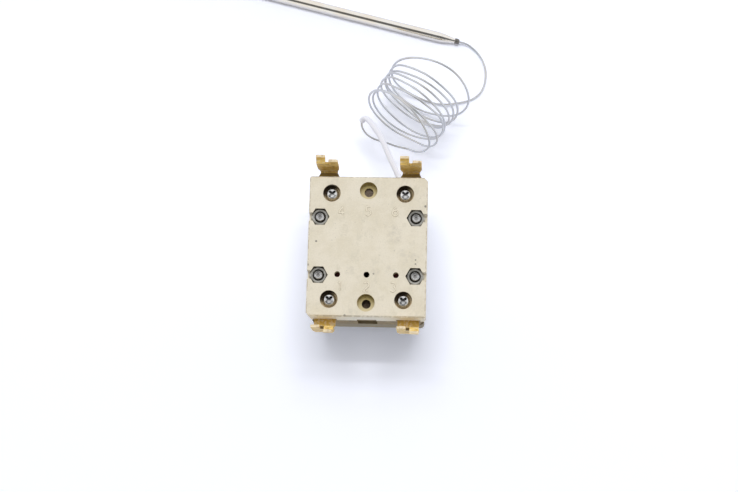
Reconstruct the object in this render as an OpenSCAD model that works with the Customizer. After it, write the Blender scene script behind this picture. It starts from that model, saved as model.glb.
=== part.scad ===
// Capillary thermostat for a griddle: a three-pole ceramic body with two poles fitted,
// a front pan with the bellows drive, a turning shaft, and a coiled capillary with its bulb.
// The origin is on the shaft axis, in the face that meets the panel.
// +Z points to the rear, where the forked terminals stand up. +Y is the capillary's side.
// All sizes are in millimetres.

/* [Body] */
// Width of the ceramic body
body_w = 46.5; // [45:0.5:50]
// Length of the ceramic body
body_l = 55.5; // [54:0.5:58]
// Height of the rear cover
cover_h = 11; // [10:0.5:13]
// Height of the switch housing
housing_h = 11.5; // [11.5:0.5:14]
// Depth of the front pan
pan_h = 11.5; // [11.5:0.5:14]
// Inset of the switch housing behind the cover's sides
housing_inset = 0.5; // [0.2:0.1:1]
// Inset of the front pan behind the cover's sides
pan_inset = 0.7; // [0.2:0.1:1.2]
// Sheet thickness of the front pan
pan_t = 1.2; // [1:0.1:1.4]
// Chamfer round the cover's rear face
face_chamfer = 0.6; // [0.4:0.1:1.6]
// Chamfer on two of the cover's upright corners
corner_chamfer = 0.6; // [0.5:0.1:2]
// Chamfer on the other two, which show which way round the cover goes
key_chamfer = 1.5; // [0.5:0.1:2]
// Chamfer on the housing's upright corners
housing_chamfer = 2.2; // [1:0.1:2.4]

/* [Poles] */
// Distance of each outer pole from the middle one
pole_x = 11.4; // [11:0.1:11.6]
// Width of a pole chamber
pole_w = 9; // [8.4:0.1:9.4]
// Thickness of the chamber floor
chamber_floor = 2; // [1.5:0.1:3]
// Distance from a chamber's end to the body's end
chamber_end = 12.25; // [11.6:0.05:12.6]
// Radius of a calibration hole in the cover
access_r = 1.15; // [1.1:0.05:1.4]
// Distance of the calibration holes from the body's end
access_end = 16.55; // [16:0.05:16.8]

/* [Fasteners] */
// Radius of the clamp studs
stud_r = 1.75; // [1.5:0.05:2]
// Distance of a stud from the body's side
stud_inset = 4.45; // [4.1:0.05:4.6]
// Distance of a stud from the body's middle, along its length
stud_y = 11.5; // [11:0.1:12]
// Width of a clamp nut across its flats
nut_af = 6.0; // [5.6:0.1:6.2]
// Height of a clamp nut
nut_h = 2.8; // [2:0.1:3.2]
// Depth of the pockets and counterbores in the cover
pocket_depth = 4; // [3.4:0.1:4.6]
// Radius of a terminal screw's head
screw_head_r = 2.7; // [2.3:0.05:2.9]
// Height of a terminal screw's head
screw_head_h = 2.6; // [2:0.1:3]
// Radius of a terminal screw's shank
screw_r = 1.75; // [1.5:0.05:1.8]
// Radius of a counterbore over a terminal screw
counterbore_r = 3.45; // [3.2:0.05:3.6]
// Distance of a terminal screw from the body's side
screw_inset = 8.85; // [8.5:0.05:9]
// Distance of a terminal screw from the body's end
screw_end = 6.75; // [6.2:0.05:7]
// Distance of an unused middle counterbore from the body's end
middle_end = 5.55; // [5:0.05:6]

/* [Terminals] */
// Sheet thickness of the terminals
sheet_t = 1.0; // [0.8:0.05:1.1]
// Width of a terminal outside the body
terminal_w = 8.5; // [8:0.1:8.8]
// Distance of a terminal's middle from the body's side
terminal_inset = 6.85; // [6.4:0.05:7]
// Distance from the body's end to a terminal's upright
terminal_reach = 4.15; // [3.5:0.05:6]
// Height of the fork's tips over the rear face
fork_rise = 7; // [5:0.5:9]
// Height of the web between the prongs over the rear face
web_rise = 3; // [1:0.5:3.5]
// Radius of a prong's tip corners
prong_round = 0.8; // [0.3:0.1:1.2]
// Gap between the two prongs of a fork
fork_gap = 1.4; // [1:0.1:2]
// Outward offset of the joggled prong
joggle = 1.76; // [1:0.02:2.4]
// Inner radius of a terminal's bend
bend_r = 0.6; // [0.4:0.1:1]

/* [Shaft] */
// Radius of the adjusting shaft
shaft_r = 3; // [2.9:0.05:3.2]
// Length of the shaft in front of the panel
shaft_len = 23; // [15:0.5:23]
// Size of the shaft across its flat
flat_size = 4.6; // [4.4:0.1:5]
// Length of the flat
flat_len = 11.5; // [6:0.5:12]
// Radius of the bush's nose
bush_r = 4.9; // [4.6:0.1:5.4]
// Length of the bush's nose in front of the pan
bush_nose = 4; // [2:0.5:6]
// Half the distance between the two panel screw holes
panel_screw_x = 14; // [13:0.1:15]
// Radius of a panel screw hole, drilled for an M4 thread
panel_screw_r = 1.65; // [1.5:0.05:1.8]
// Height of the extruded collar round a panel screw hole
panel_collar_h = 1.3; // [0.8:0.1:1.5]

/* [Drive] */
// Radius of the bellows capsule
capsule_r = 12; // [11:0.1:12.4]
// Travel of the carrier over the shaft's whole turn
carrier_travel = 0.75; // [0.5:0.05:0.75]
// Thickness of the rocker lever
lever_t = 0.8; // [0.6:0.05:1]
// Radius of the lever's pivot pin
pivot_r = 1; // [0.8:0.05:1.1]
// Radius of a push pin
push_r = 1.5; // [1.2:0.05:1.7]
// Distance of the push pins from the body's middle
push_y = 2; // [1:0.1:3]
// Thickness of a snap blade
blade_t = 0.3; // [0.2:0.05:0.4]
// Width of a snap blade
blade_w = 5.6; // [5.2:0.1:6]
// Radius of a contact rivet
contact_r = 1.5; // [1.2:0.1:1.7]
// Height of a contact rivet
contact_h = 0.8; // [0.6:0.05:0.9]

/* [Bulb and capillary] */
// Radius of the sensing bulb
bulb_r = 2.2; // [2:0.1:2.4]
// Length of the sensing bulb
bulb_len = 130; // [100:5:140]
// Radius of the capillary
capillary_r = 0.45; // [0.4:0.05:0.6]
// Radius of the insulating sleeve
sleeve_r = 1.2; // [1:0.05:1.35]
// Middle radius of the capillary's coil
coil_r = 17.3; // [16.8:0.1:17.4]

/* [Hidden] */
$fn = 48;
// A small overshoot, so that a cut passes right through a wall
eps = 0.1;
// Clearance between a fixed shank and the hole that it sits in
snug = 0.02;
// Clearance between a turning or sliding piece and its bearing
running = 0.04;
// Clearance round a strip in its channel, and round a stud in the ceramic
loose = 0.25;
// Gap left between two contacts or faces that only touch
touch = 0.1;

// Levels
seam_z = pan_h + housing_h;
face_z = seam_z + cover_h;
pocket_z = face_z - pocket_depth;
// Height of the hollow in the cover above the poles
hollow_h = 3;
// Places across and along the body
stud_x = body_w / 2 - stud_inset;
screw_x = body_w / 2 - screw_inset;
screw_y = body_l / 2 - screw_end;
middle_y = body_l / 2 - middle_end;
terminal_x = body_w / 2 - terminal_inset;
chamber_l = body_l - 2 * chamber_end;
access_y = body_l / 2 - access_end;
housing_w = body_w - 2 * housing_inset;
housing_l = body_l - 0.2;
pan_w = body_w - 2 * pan_inset;
pan_l = body_l - 0.4;
pan_corner = 1.6;
nut_pocket_af = nut_af + 0.5;
// A hexagon's corner radius for a size of one across its flats
hex_corner = 1 / sqrt(3);

// Terminals
upright_y = body_l / 2 + terminal_reach;
strip_end = 2.2;
strip_inner = chamber_l / 2 + 1;
tongue_w = blade_w;
tongue_x = terminal_x - pole_x;
notch_w = terminal_w + 0.9;
notch_h = 3.5;
notch_d = 2.2;
// Slots at the body's ends, for the terminals that the middle pole lacks
empty_w = 7.7;
empty_h = 2.6;
empty_d = 1.3;
neck_cut = 0.8;
neck_up = 4.2;
neck_down = bend_r + sheet_t + eps;
neck_in = 1.5;
prong_w = (terminal_w - fork_gap) / 2;
joggle_from = 0.2;
joggle_rise = 1.1;
joggle_shift = 0.4;

// Shaft, bush and carrier levels inside the pan
bush_spigot_r = bush_r + 0.4;
bush_flange_r = bush_r + 1.7;
bush_flange_h = 0.7;
bush_top = pan_t + bush_flange_h;
washer_t = 0.7;
washer_z = bush_top + touch;
washer_r = 6;
tab_r = 9;
tab_angle = 72;
stop_post_r = 0.8;
stop_post_at = 8.2;
stop_gap_angle = 9;
shaft_neck_r = shaft_r - 0.5;
hub_r = shaft_neck_r + 2;
hub_z = washer_z + washer_t + carrier_travel + 0.25;
hub_h = 1.2;
carrier_t = 1;
carrier_z = hub_z + hub_h;
carrier_r = 8;
carrier_top = carrier_z + carrier_t;
arm_w = 4.5;
ear_r = stud_r + 1.3;
shaft_end = carrier_top - carrier_travel - 0.15;
clip_t = 0.6;
clip_r = 4.4;
clip_groove = 0.6;

// Bellows capsule and lever levels
boss_h = 0.2;
rim_z = carrier_top + 0.9;
rim_t = 0.35;
rim_w = 2.4;
button_r = 3;
button_h = 0.5;
ring_w = 1.2;
ring_h = 0.3;
capsule_h = 2.1;
capsule_top = carrier_top + capsule_h;
lever_z = capsule_top + touch;
lever_mid_z = lever_z + lever_t / 2;
lever_top = lever_z + lever_t;
pivot_end = 10.75;
lever_pivot_y = -(body_l / 2 - pivot_end);
knuckle_r = pivot_r + 0.5;
knuckle_in = 7;
knuckle_out = 12;
lug_in = knuckle_out + 0.3;
lug_w = 2.7;
lug_r = pivot_r + 0.9;

// Switch levels
blade_z = seam_z - 2.4;
moving_z = blade_z - contact_h;
fixed_z = moving_z - touch - contact_h;
pin_z = lever_top + touch;
pin_top = blade_z - touch;
pin_dome = 0.3;
blade_from = -(chamber_l / 2 - 2);
blade_to = chamber_l / 2 - 5;
contact_y = blade_to - 2.5;
bead_r = 0.35;
lip_gap = bead_r + touch;
window_w = 3;
spring_w = 2.4;
spring_from = blade_from + 0.6;
spring_to = push_y - 2.6;
spring_bow = 0.8;
spring_chord = spring_to - spring_from;
spring_r = spring_chord * spring_chord / (8 * spring_bow) + spring_bow / 2;
calibration_r = access_r - 0.15;
calibration_top = face_z - 3;
calibration_tip = blade_z + blade_t + spring_bow + 0.3;

// The capillary's outlet in the pan's wall
outlet_x = 13;
outlet_z = 5.5;
outlet_r = 1.5;

// The capillary's route, as points chosen along its middle line
inner_route = [[8.9, 8.9, 6.8], [10.5, 12, 6.6], [12, 16, 6.1], [13, 21, 5.6], [13, 24, 5.5]];
sleeve_route = [
    [13, 24, 5.5], [13, 28.5, 5.5], [12, 32, 5.5], [10.3, 36, 5.4], [7, 43, 5], [3.4, 51, 4.2],
    [0.2, 56.2, 3], [-2.4, 59.8, 1.4], [-4.4, 60.8, 0], [-5.4, 59.6, -1.6]
];
lead_route = [
    [-5.4, 59.6, -1.6], [-5.2, 57.8, -2.8], [-3.6, 55.3, -3.6], [-1, 53.5, -4], [2.4, 52.3, -4.2],
    [6, 51.4, -4.6], [9.4, 50.3, -5.2], [13.8, 48.6, -6.2], [16.5, 48.4, -6.4]
];
tail_route = [
    [26, 71, -20.4], [29, 72, -21.6], [33, 73.3, -22.2], [37, 74.2, -22.4], [41, 76, -22.4],
    [44.6, 79.3, -22.4], [46.8, 83.6, -22.4], [47.3, 88.4, -22.4], [46, 93.6, -22.4],
    [43, 98, -22.2], [39, 101, -21.4], [35.5, 101.9, -20.8]
];
// Rings of the swept tube between two points of the route
route_steps = 2;
tube_sides = 8;
// The coil: its middle, heading, dip, length and half the thickness of its ring of turns
coil_mid = [18, 68.5, 1.2];
coil_heading = 62;
coil_dip = 27;
coil_from = -13.4;
coil_len = 28.4;
coil_band = 1.9;
// The bulb lies with its collar here and points away at this heading
bulb_at = [35.5, 101.9, -20.8];
bulb_heading = 166;
collar_r = 1.3;
collar_len = 2;
bulb_cone = 8;

// Colours
steatite = [0.87, 0.84, 0.76];
steatite_grey = [0.52, 0.49, 0.42];
zinc = [0.62, 0.62, 0.58];
bright = [0.82, 0.82, 0.84];
brass = [0.72, 0.55, 0.22];
silver = [0.78, 0.78, 0.80];
lacquer = [0.35, 0.05, 0.04];
spring_steel = [0.55, 0.55, 0.58];
sleeve_white = [0.90, 0.90, 0.95];

// One set of shapes at each of the four stud corners
module at_studs() {
    for (sx = [-1, 1], sy = [-1, 1])
        translate([sx * stud_x, sy * stud_y, 0]) children();
}

// One set of shapes at each of the four terminal screws
module at_screws() {
    for (sx = [-1, 1], sy = [-1, 1])
        translate([sx * screw_x, sy * screw_y, 0]) children();
}

// One set of shapes at the two fitted poles
module at_poles() {
    for (sx = [-1, 1])
        translate([sx * pole_x, 0, 0]) children();
}

// An upright prism on a rectangle, with two opposite upright corners cut off by key and two by cut
module cut_block(w, l, h, cut, key) {
    linear_extrude(h)
        polygon([
            [-w / 2 + key, -l / 2], [w / 2 - cut, -l / 2], [w / 2, -l / 2 + cut], [w / 2, l / 2 - key],
            [w / 2 - key, l / 2], [-w / 2 + cut, l / 2], [-w / 2, l / 2 - cut], [-w / 2, -l / 2 + key]
        ]);
}

// A prism whose section across has its two top corners cut off
module ridge_block(w, l, h, cut) {
    translate([0, l / 2, 0])
        rotate([90, 0, 0])
            linear_extrude(l)
                polygon([
                    [-w / 2, 0], [w / 2, 0], [w / 2, h - cut], [w / 2 - cut, h],
                    [-w / 2 + cut, h], [-w / 2, h - cut]
                ]);
}

// An upright prism on a rectangle with round corners
module round_block(w, l, h, r) {
    linear_extrude(h) {
        square([w - 2 * r, l], center = true);
        square([w, l - 2 * r], center = true);
        for (sx = [-1, 1], sy = [-1, 1])
            translate([sx * (w / 2 - r), sy * (l / 2 - r)]) circle(r);
    }
}

// Plan of a terminal strip inside the body, with an even margin; side tells where its pole lies
module strip_plan(side, margin) {
    inner_x = tongue_x + tongue_w / 2;
    plate_x = side > 0 ? -terminal_w / 2 : -inner_x;
    plate_w = terminal_w / 2 + inner_x;
    translate([plate_x - margin, strip_inner - margin])
        square([plate_w + 2 * margin, body_l / 2 - strip_end - strip_inner + 2 * margin]);
    translate([side * tongue_x - tongue_w / 2 - margin, chamber_l / 2 - 1])
        square([tongue_w + 2 * margin, strip_inner - chamber_l / 2 + 2]);
}

// Places a shape that is drawn for the +Y end at one of the four terminals
module at_terminal(sx, sy) {
    translate([sx * terminal_x, 0, 0]) rotate([0, 0, sy > 0 ? 0 : 180]) children();
}

module rear_cover() {
    color(steatite)
    translate([0, 0, seam_z])
    difference() {
        intersection() {
            cut_block(body_w, body_l, cover_h, corner_chamfer, key_chamfer);
            ridge_block(body_w, body_l + 1, cover_h, face_chamfer);
            rotate([0, 0, 90]) ridge_block(body_l, body_w + 1, cover_h, face_chamfer);
        }
        // Hexagon pockets, open to the body's sides, and their stud holes
        for (sx = [-1, 1], sy = [-1, 1])
            translate([sx * stud_x, sy * stud_y, 0]) {
                translate([0, 0, cover_h - pocket_depth])
                    cylinder(h = pocket_depth + eps, r = nut_pocket_af * hex_corner, $fn = 6);
                translate([sx > 0 ? 0 : -stud_inset - 1, -nut_pocket_af / 4, cover_h - pocket_depth])
                    cube([stud_inset + 1, nut_pocket_af / 2, pocket_depth + eps]);
                translate([0, 0, -eps]) cylinder(h = cover_h, r = stud_r + loose);
            }
        // Counterbores over the terminal screws
        at_screws() {
            translate([0, 0, cover_h - pocket_depth]) cylinder(h = pocket_depth + eps, r = counterbore_r);
            translate([0, 0, -eps]) cylinder(h = cover_h, r = screw_r + loose);
        }
        // The two counterbores of the unused middle pole
        for (sy = [-1, 1])
            translate([0, sy * middle_y, 0]) {
                translate([0, 0, cover_h - pocket_depth]) cylinder(h = pocket_depth + eps, r = counterbore_r);
                translate([0, 0, -eps]) cylinder(h = cover_h, r = screw_r + snug);
            }
        // Calibration holes
        for (i = [-1, 0, 1])
            translate([i * pole_x, -access_y, -eps]) cylinder(h = cover_h + 2 * eps, r = access_r);
        // Hollows over the three poles
        for (i = [-1, 0, 1])
            translate([i * pole_x - pole_w / 2, -chamber_l / 2, -eps])
                cube([pole_w, chamber_l, hollow_h + eps]);
        // Channels and end notches of the terminal strips
        for (sx = [-1, 1], sy = [-1, 1])
            at_terminal(sx, sy) {
                translate([0, 0, -eps])
                    linear_extrude(sheet_t + loose + eps) strip_plan(-sx * sy, loose);
                translate([-terminal_w / 2 - loose, body_l / 2 - strip_end - 1, -eps])
                    cube([terminal_w + 2 * loose, strip_end + 2, sheet_t + loose + eps]);
                translate([-notch_w / 2, body_l / 2 - notch_d, -eps])
                    cube([notch_w, notch_d + 1, notch_h + eps]);
            }
        for (sy = [-1, 1])
            translate([-empty_w / 2, sy * body_l / 2 - empty_d, -eps])
                cube([empty_w, 2 * empty_d, empty_h + eps]);
    }
}

module switch_housing() {
    color(steatite_grey)
    difference() {
        union() {
            translate([0, 0, pan_h])
                difference() {
                    cut_block(housing_w, housing_l, housing_h, housing_chamfer, housing_chamfer);
                    // Pole chambers
                    for (i = [-1, 0, 1])
                        translate([i * pole_x - pole_w / 2, -chamber_l / 2, chamber_floor])
                            cube([pole_w, chamber_l, housing_h]);
                }
            // Guides of the push pins on the chamber floors
            at_poles()
                translate([0, push_y, pan_h]) cylinder(h = chamber_floor + 2, r = push_r + 1.1);
            // Lugs that hold the lever's pivot pin
            for (sx = [-1, 1])
                translate([sx > 0 ? lug_in : -lug_in - lug_w, lever_pivot_y, 0]) {
                    translate([0, -lug_r, lever_mid_z]) cube([lug_w, 2 * lug_r, pan_h - lever_mid_z + eps]);
                    translate([0, 0, lever_mid_z]) rotate([0, 90, 0]) cylinder(h = lug_w, r = lug_r);
                }
        }
        at_studs() translate([0, 0, pan_h - eps]) cylinder(h = housing_h + 2 * eps, r = stud_r + loose);
        at_screws() translate([0, 0, seam_z - 4]) cylinder(h = 4 + eps, r = screw_r + loose);
        for (sy = [-1, 1])
            translate([0, sy * middle_y, seam_z - 4]) cylinder(h = 4 + eps, r = screw_r + loose);
        at_poles() translate([0, push_y, pan_h - eps]) cylinder(h = housing_h, r = push_r + running);
        translate([-lug_in - lug_w - eps, lever_pivot_y, lever_mid_z])
            rotate([0, 90, 0]) cylinder(h = 2 * (lug_in + lug_w + eps), r = pivot_r + snug);
        for (sy = [-1, 1])
            translate([-empty_w / 2, sy * body_l / 2 - empty_d, pan_h - eps])
                cube([empty_w, 2 * empty_d, housing_h + 2 * eps]);
    }
}

module front_pan() {
    collar_outer = panel_screw_r + 1.2;
    color(zinc)
    difference() {
        union() {
            difference() {
                round_block(pan_w, pan_l, pan_h, pan_corner);
                translate([0, 0, pan_t])
                    round_block(pan_w - 2 * pan_t, pan_l - 2 * pan_t, pan_h, pan_corner - 1);
            }
            for (sx = [-1, 1])
                translate([sx * panel_screw_x, 0, pan_t / 2])
                    cylinder(h = pan_t / 2 + panel_collar_h, r = collar_outer);
            translate([0, -stop_post_at, pan_t / 2])
                cylinder(h = washer_z + washer_t - pan_t / 2, r = stop_post_r);
        }
        for (sx = [-1, 1])
            translate([sx * panel_screw_x, 0, -eps])
                cylinder(h = pan_t + panel_collar_h + 2 * eps, r = panel_screw_r);
        translate([0, 0, -eps]) cylinder(h = pan_t + 2 * eps, r = bush_spigot_r + snug);
        translate([outlet_x, pan_l / 2 - pan_t - eps, outlet_z])
            rotate([-90, 0, 0]) cylinder(h = pan_t + 2 * eps, r = outlet_r);
    }
}

module clamp_studs() {
    foot_r = stud_r + 0.3;
    foot_z = pan_t + 1.2;
    top = face_z - touch;
    edge = 0.3;
    cup_r = stud_r / 2;
    color(bright)
    at_studs()
        rotate_extrude()
            polygon([
                [0, pan_t], [foot_r, pan_t], [foot_r, foot_z], [stud_r, foot_z], [stud_r, top - edge],
                [stud_r - edge, top], [cup_r, top], [cup_r - edge, top - edge], [0, top - edge]
            ]);
}

module clamp_nuts() {
    corner_r = nut_af * hex_corner;
    bevel = 0.35;
    mouth = 0.45;
    color(zinc)
    at_studs()
        translate([0, 0, pocket_z])
            difference() {
                intersection() {
                    cylinder(h = nut_h, r = corner_r, $fn = 6);
                    rotate_extrude()
                        polygon([
                            [0, 0], [corner_r - bevel, 0], [corner_r, bevel], [corner_r, nut_h - bevel],
                            [corner_r - 2 * bevel, nut_h], [0, nut_h]
                        ]);
                }
                translate([0, 0, -eps]) cylinder(h = nut_h + 2 * eps, r = stud_r + snug);
                translate([0, 0, nut_h - mouth])
                    cylinder(h = mouth + eps, r1 = stud_r + snug, r2 = stud_r + mouth);
            }
}

module terminal_screws() {
    wing_w = 0.9;
    recess_r = 1.7;
    recess_d = 1.4;
    rim_h = 1.1;
    dome_h = screw_head_h - rim_h;
    crown_r = screw_head_r / 2;
    shank_z = seam_z - 2;
    tip = 0.3;
    top = pocket_z + screw_head_h;
    color(bright)
    at_screws()
        difference() {
            rotate_extrude()
                polygon(concat(
                    [[0, shank_z], [screw_r - tip, shank_z], [screw_r, shank_z + tip], [screw_r, pocket_z]],
                    [for (a = [0 : 15 : 90])
                        [crown_r + (screw_head_r - crown_r) * cos(a), pocket_z + rim_h + dome_h * sin(a)]],
                    [[0, top]]
                ));
            intersection() {
                translate([0, 0, top - recess_d])
                    cylinder(h = recess_d + eps, r1 = recess_r - recess_d / 2, r2 = recess_r);
                for (turn = [45, 135])
                    rotate([0, 0, turn])
                        translate([-recess_r, -wing_w / 2, top - recess_d])
                            cube([2 * recess_r, wing_w, recess_d + eps]);
            }
        }
}

// Side view of a joggled prong, drawn with Y outwards and Z upwards
module joggled_side() {
    z0 = face_z + web_rise - eps;
    z1 = face_z + web_rise + joggle_from;
    z2 = z1 + joggle_rise;
    z3 = face_z + fork_rise;
    polygon([
        [upright_y, z0], [upright_y + sheet_t, z0], [upright_y + sheet_t, z1],
        [upright_y + sheet_t + joggle, z2], [upright_y + sheet_t + joggle, z3], [upright_y + joggle, z3],
        [upright_y + joggle, z2 + joggle_shift], [upright_y, z1 + joggle_shift]
    ]);
}

// A block with the front outline of one prong, as deep as depth outwards from the upright
module prong_block(sx, depth) {
    rise = fork_rise - web_rise + eps;
    translate([sx * (terminal_w - prong_w) / 2, upright_y + depth, face_z + web_rise - eps])
        rotate([90, 0, 0])
            linear_extrude(depth) {
                translate([-prong_w / 2, 0]) square([prong_w, rise - prong_round]);
                translate([prong_round - prong_w / 2, 0]) square([prong_w - 2 * prong_round, rise]);
                for (side = [-1, 1])
                    translate([side * (prong_w / 2 - prong_round), rise - prong_round])
                        circle(prong_round, $fn = 24);
            }
}

// Turns a drawing in (Y, Z) into a plate of width w, centred on x = 0
module plate_from_side(w) {
    translate([-w / 2, 0, 0]) rotate([90, 0, 90]) linear_extrude(w) children();
}

// The folded part of a terminal outside the body, and its strip inside
module terminal_body(side) {
    bend_y = upright_y - bend_r;
    bend_z = seam_z + sheet_t + bend_r;
    difference() {
        union() {
            translate([0, 0, seam_z]) linear_extrude(sheet_t) strip_plan(side, 0);
            translate([-terminal_w / 2, body_l / 2 - strip_end - 0.5, seam_z])
                cube([terminal_w, bend_y - body_l / 2 + strip_end + 0.5, sheet_t]);
            // The bend and the upright, up to where the fork begins
            plate_from_side(terminal_w) {
                translate([bend_y, bend_z])
                    intersection() {
                        difference() {
                            circle(bend_r + sheet_t);
                            circle(bend_r);
                        }
                        translate([0, -bend_r - sheet_t]) square(bend_r + sheet_t);
                    }
                translate([upright_y, bend_z]) square([sheet_t, face_z + web_rise - bend_z]);
            }
            // The straight prong
            prong_block(1, sheet_t);
            // The joggled prong
            intersection() {
                prong_block(-1, sheet_t + joggle);
                translate([-terminal_w / 2 + prong_w / 2, 0, 0]) plate_from_side(prong_w) joggled_side();
            }
        }
        // Screw hole
        translate([side * (tongue_x - (screw_x - pole_x)), screw_y, seam_z - eps])
            cylinder(h = sheet_t + 2 * eps, r = screw_r + snug);
        // Notches in the upright and in the strip, which form the neck at the bend
        for (sx = [-1, 1])
            translate([sx * terminal_w / 2, 0, 0]) {
                translate([0, upright_y + sheet_t + eps, bend_z])
                    rotate([90, 0, 0])
                        linear_extrude(sheet_t + bend_r + 2 * eps)
                            polygon([
                                [-sx * neck_cut, 0], [0, neck_up], [sx * eps, neck_up],
                                [sx * eps, -neck_down], [-sx * neck_cut, -neck_down]
                            ]);
                translate([0, bend_y, seam_z - eps])
                    linear_extrude(sheet_t + 2 * eps)
                        polygon([[-sx * neck_cut, 0], [sx * eps, 0], [sx * eps, -neck_in], [0, -neck_in]]);
            }
        // Round foot of the slot between the prongs
        translate([0, upright_y - eps, face_z + web_rise])
            rotate([-90, 0, 0]) cylinder(h = sheet_t + 2 * eps, r = fork_gap / 2);
    }
}

// An upper terminal: its tongue steps down to carry the fixed contact under the blade
module upper_terminal(sx) {
    side = -sx;
    drop_y = chamber_l / 2 - 0.6;
    tongue_z = fixed_z - sheet_t;
    color(brass)
    at_terminal(sx, 1) {
        terminal_body(side);
        translate([side * tongue_x - tongue_w / 2, 0, 0]) {
            translate([0, drop_y - sheet_t, tongue_z]) cube([tongue_w, sheet_t, seam_z + sheet_t - tongue_z]);
            translate([0, drop_y - sheet_t, seam_z]) cube([tongue_w, sheet_t + 1, sheet_t]);
            translate([0, contact_y - contact_r - 0.8, tongue_z])
                cube([tongue_w, drop_y - contact_y + contact_r + 0.8, sheet_t]);
        }
    }
}

// A lower terminal: its tongue carries the calibration screw and the lip that the blade bears on
module lower_terminal(sx) {
    side = sx;
    tongue_to = access_y - 2.8;
    lip_w = 4;
    lip_y = -blade_from + lip_gap;
    color(brass)
    at_terminal(sx, -1) {
        difference() {
            union() {
                terminal_body(side);
                translate([side * tongue_x - tongue_w / 2, tongue_to, seam_z])
                    cube([tongue_w, chamber_l / 2 - tongue_to, sheet_t]);
                translate([side * tongue_x - lip_w / 2, lip_y, blade_z - 1])
                    cube([lip_w, sheet_t, seam_z - blade_z + 1 + eps]);
            }
            translate([side * tongue_x, access_y, seam_z - eps])
                cylinder(h = sheet_t + 2 * eps, r = calibration_r + snug);
        }
    }
}

module fixed_contact(sx) {
    color(silver)
    translate([sx * pole_x, contact_y, fixed_z]) cylinder(h = contact_h, r = contact_r);
}

module moving_contact(sx) {
    color(silver)
    translate([sx * pole_x, contact_y, moving_z]) cylinder(h = contact_h, r = contact_r);
}

module calibration_screws() {
    slot_w = 0.5;
    slot_d = 0.6;
    color(lacquer)
    for (sx = [-1, 1])
        translate([sx * pole_x, -access_y, 0])
            difference() {
                translate([0, 0, calibration_tip])
                    cylinder(h = calibration_top - calibration_tip, r = calibration_r);
                translate([-calibration_r - eps, -slot_w / 2, calibration_top - slot_d])
                    cube([2 * (calibration_r + eps), slot_w, slot_d + eps]);
            }
}

// A blade with a rolled edge at its hinge, a window, and a bowed spring tongue across the window
module snap_blade(sx) {
    half_angle = asin(spring_chord / 2 / spring_r);
    mid_z = blade_z + blade_t / 2;
    color(spring_steel)
    translate([sx * pole_x, 0, 0]) {
        difference() {
            union() {
                translate([-blade_w / 2, blade_from, blade_z])
                    cube([blade_w, blade_to - blade_from, blade_t]);
                translate([-blade_w / 2, blade_from, mid_z])
                    rotate([0, 90, 0]) cylinder(h = blade_w, r = bead_r, $fn = 24);
            }
            translate([-window_w / 2, spring_from + 0.6, blade_z - eps])
                cube([window_w, spring_chord - 1.2, blade_t + 2 * eps]);
        }
        translate([-spring_w / 2, (spring_from + spring_to) / 2, mid_z + spring_bow - spring_r])
            rotate([90, 0, 90])
                rotate([0, 0, 90 - half_angle])
                    rotate_extrude(angle = 2 * half_angle, $fn = 96)
                        translate([spring_r - blade_t / 2, 0]) square([blade_t, spring_w]);
    }
}

module push_pin(sx) {
    color(steatite)
    translate([sx * pole_x, push_y, 0])
        rotate_extrude()
            polygon([
                [0, pin_z], [push_r - 2 * pin_dome, pin_z], [push_r, pin_z + pin_dome],
                [push_r, pin_top - pin_dome], [push_r - 2 * pin_dome, pin_top], [0, pin_top]
            ]);
}

module rocker_lever() {
    bar_half = 2.6;
    bar_x = pole_x + 2.4;
    bar_from = push_y - bar_half;
    bar_to = push_y + bar_half;
    waist = 7;
    waist_to = bar_from - 2;
    wide_to = lever_pivot_y + 5;
    taper_to = lever_pivot_y + 9;
    color(zinc)
    difference() {
        union() {
            translate([0, 0, lever_z])
                linear_extrude(lever_t)
                    polygon([
                        [-knuckle_out, lever_pivot_y], [knuckle_out, lever_pivot_y], [knuckle_out, wide_to],
                        [waist, taper_to], [waist, waist_to], [bar_x, bar_from], [bar_x, bar_to],
                        [-bar_x, bar_to], [-bar_x, bar_from], [-waist, waist_to], [-waist, taper_to],
                        [-knuckle_out, wide_to]
                    ]);
            for (x = [-knuckle_out, knuckle_in])
                translate([x, lever_pivot_y, lever_mid_z])
                    rotate([0, 90, 0]) cylinder(h = knuckle_out - knuckle_in, r = knuckle_r);
        }
        translate([-knuckle_out - eps, lever_pivot_y, lever_mid_z])
            rotate([0, 90, 0]) cylinder(h = 2 * (knuckle_out + eps), r = pivot_r + running);
        // Room between the two knuckles
        translate([-knuckle_in, lever_pivot_y - knuckle_r - 1, lever_z - 1])
            cube([2 * knuckle_in, knuckle_r + 2.8, lever_t + 2]);
    }
}

module lever_pivot_pin() {
    color(bright)
    translate([-lug_in - lug_w, lever_pivot_y, lever_mid_z])
        rotate([0, 90, 0]) cylinder(h = 2 * (lug_in + lug_w), r = pivot_r);
}

// The bellows capsule: two thin cups welded at the rim, with a ring pressed into the upper one
module diaphragm() {
    wall_r = capsule_r - rim_w;
    floor_r = wall_r - rim_w / 2;
    roof_z = capsule_top - button_h;
    ring_r = (floor_r + button_r) / 2;
    color(silver)
    rotate_extrude($fn = 64)
        polygon([
            [0, carrier_top], [button_r, carrier_top], [button_r, carrier_top + boss_h],
            [floor_r, carrier_top + boss_h], [wall_r, rim_z], [capsule_r, rim_z], [capsule_r, rim_z + rim_t],
            [wall_r, rim_z + rim_t], [floor_r, roof_z], [ring_r + ring_w, roof_z],
            [ring_r + ring_w / 2, roof_z - ring_h], [ring_r - ring_w / 2, roof_z - ring_h],
            [ring_r - ring_w, roof_z], [button_r, roof_z], [button_r - button_h, capsule_top],
            [0, capsule_top]
        ]);
}

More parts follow.
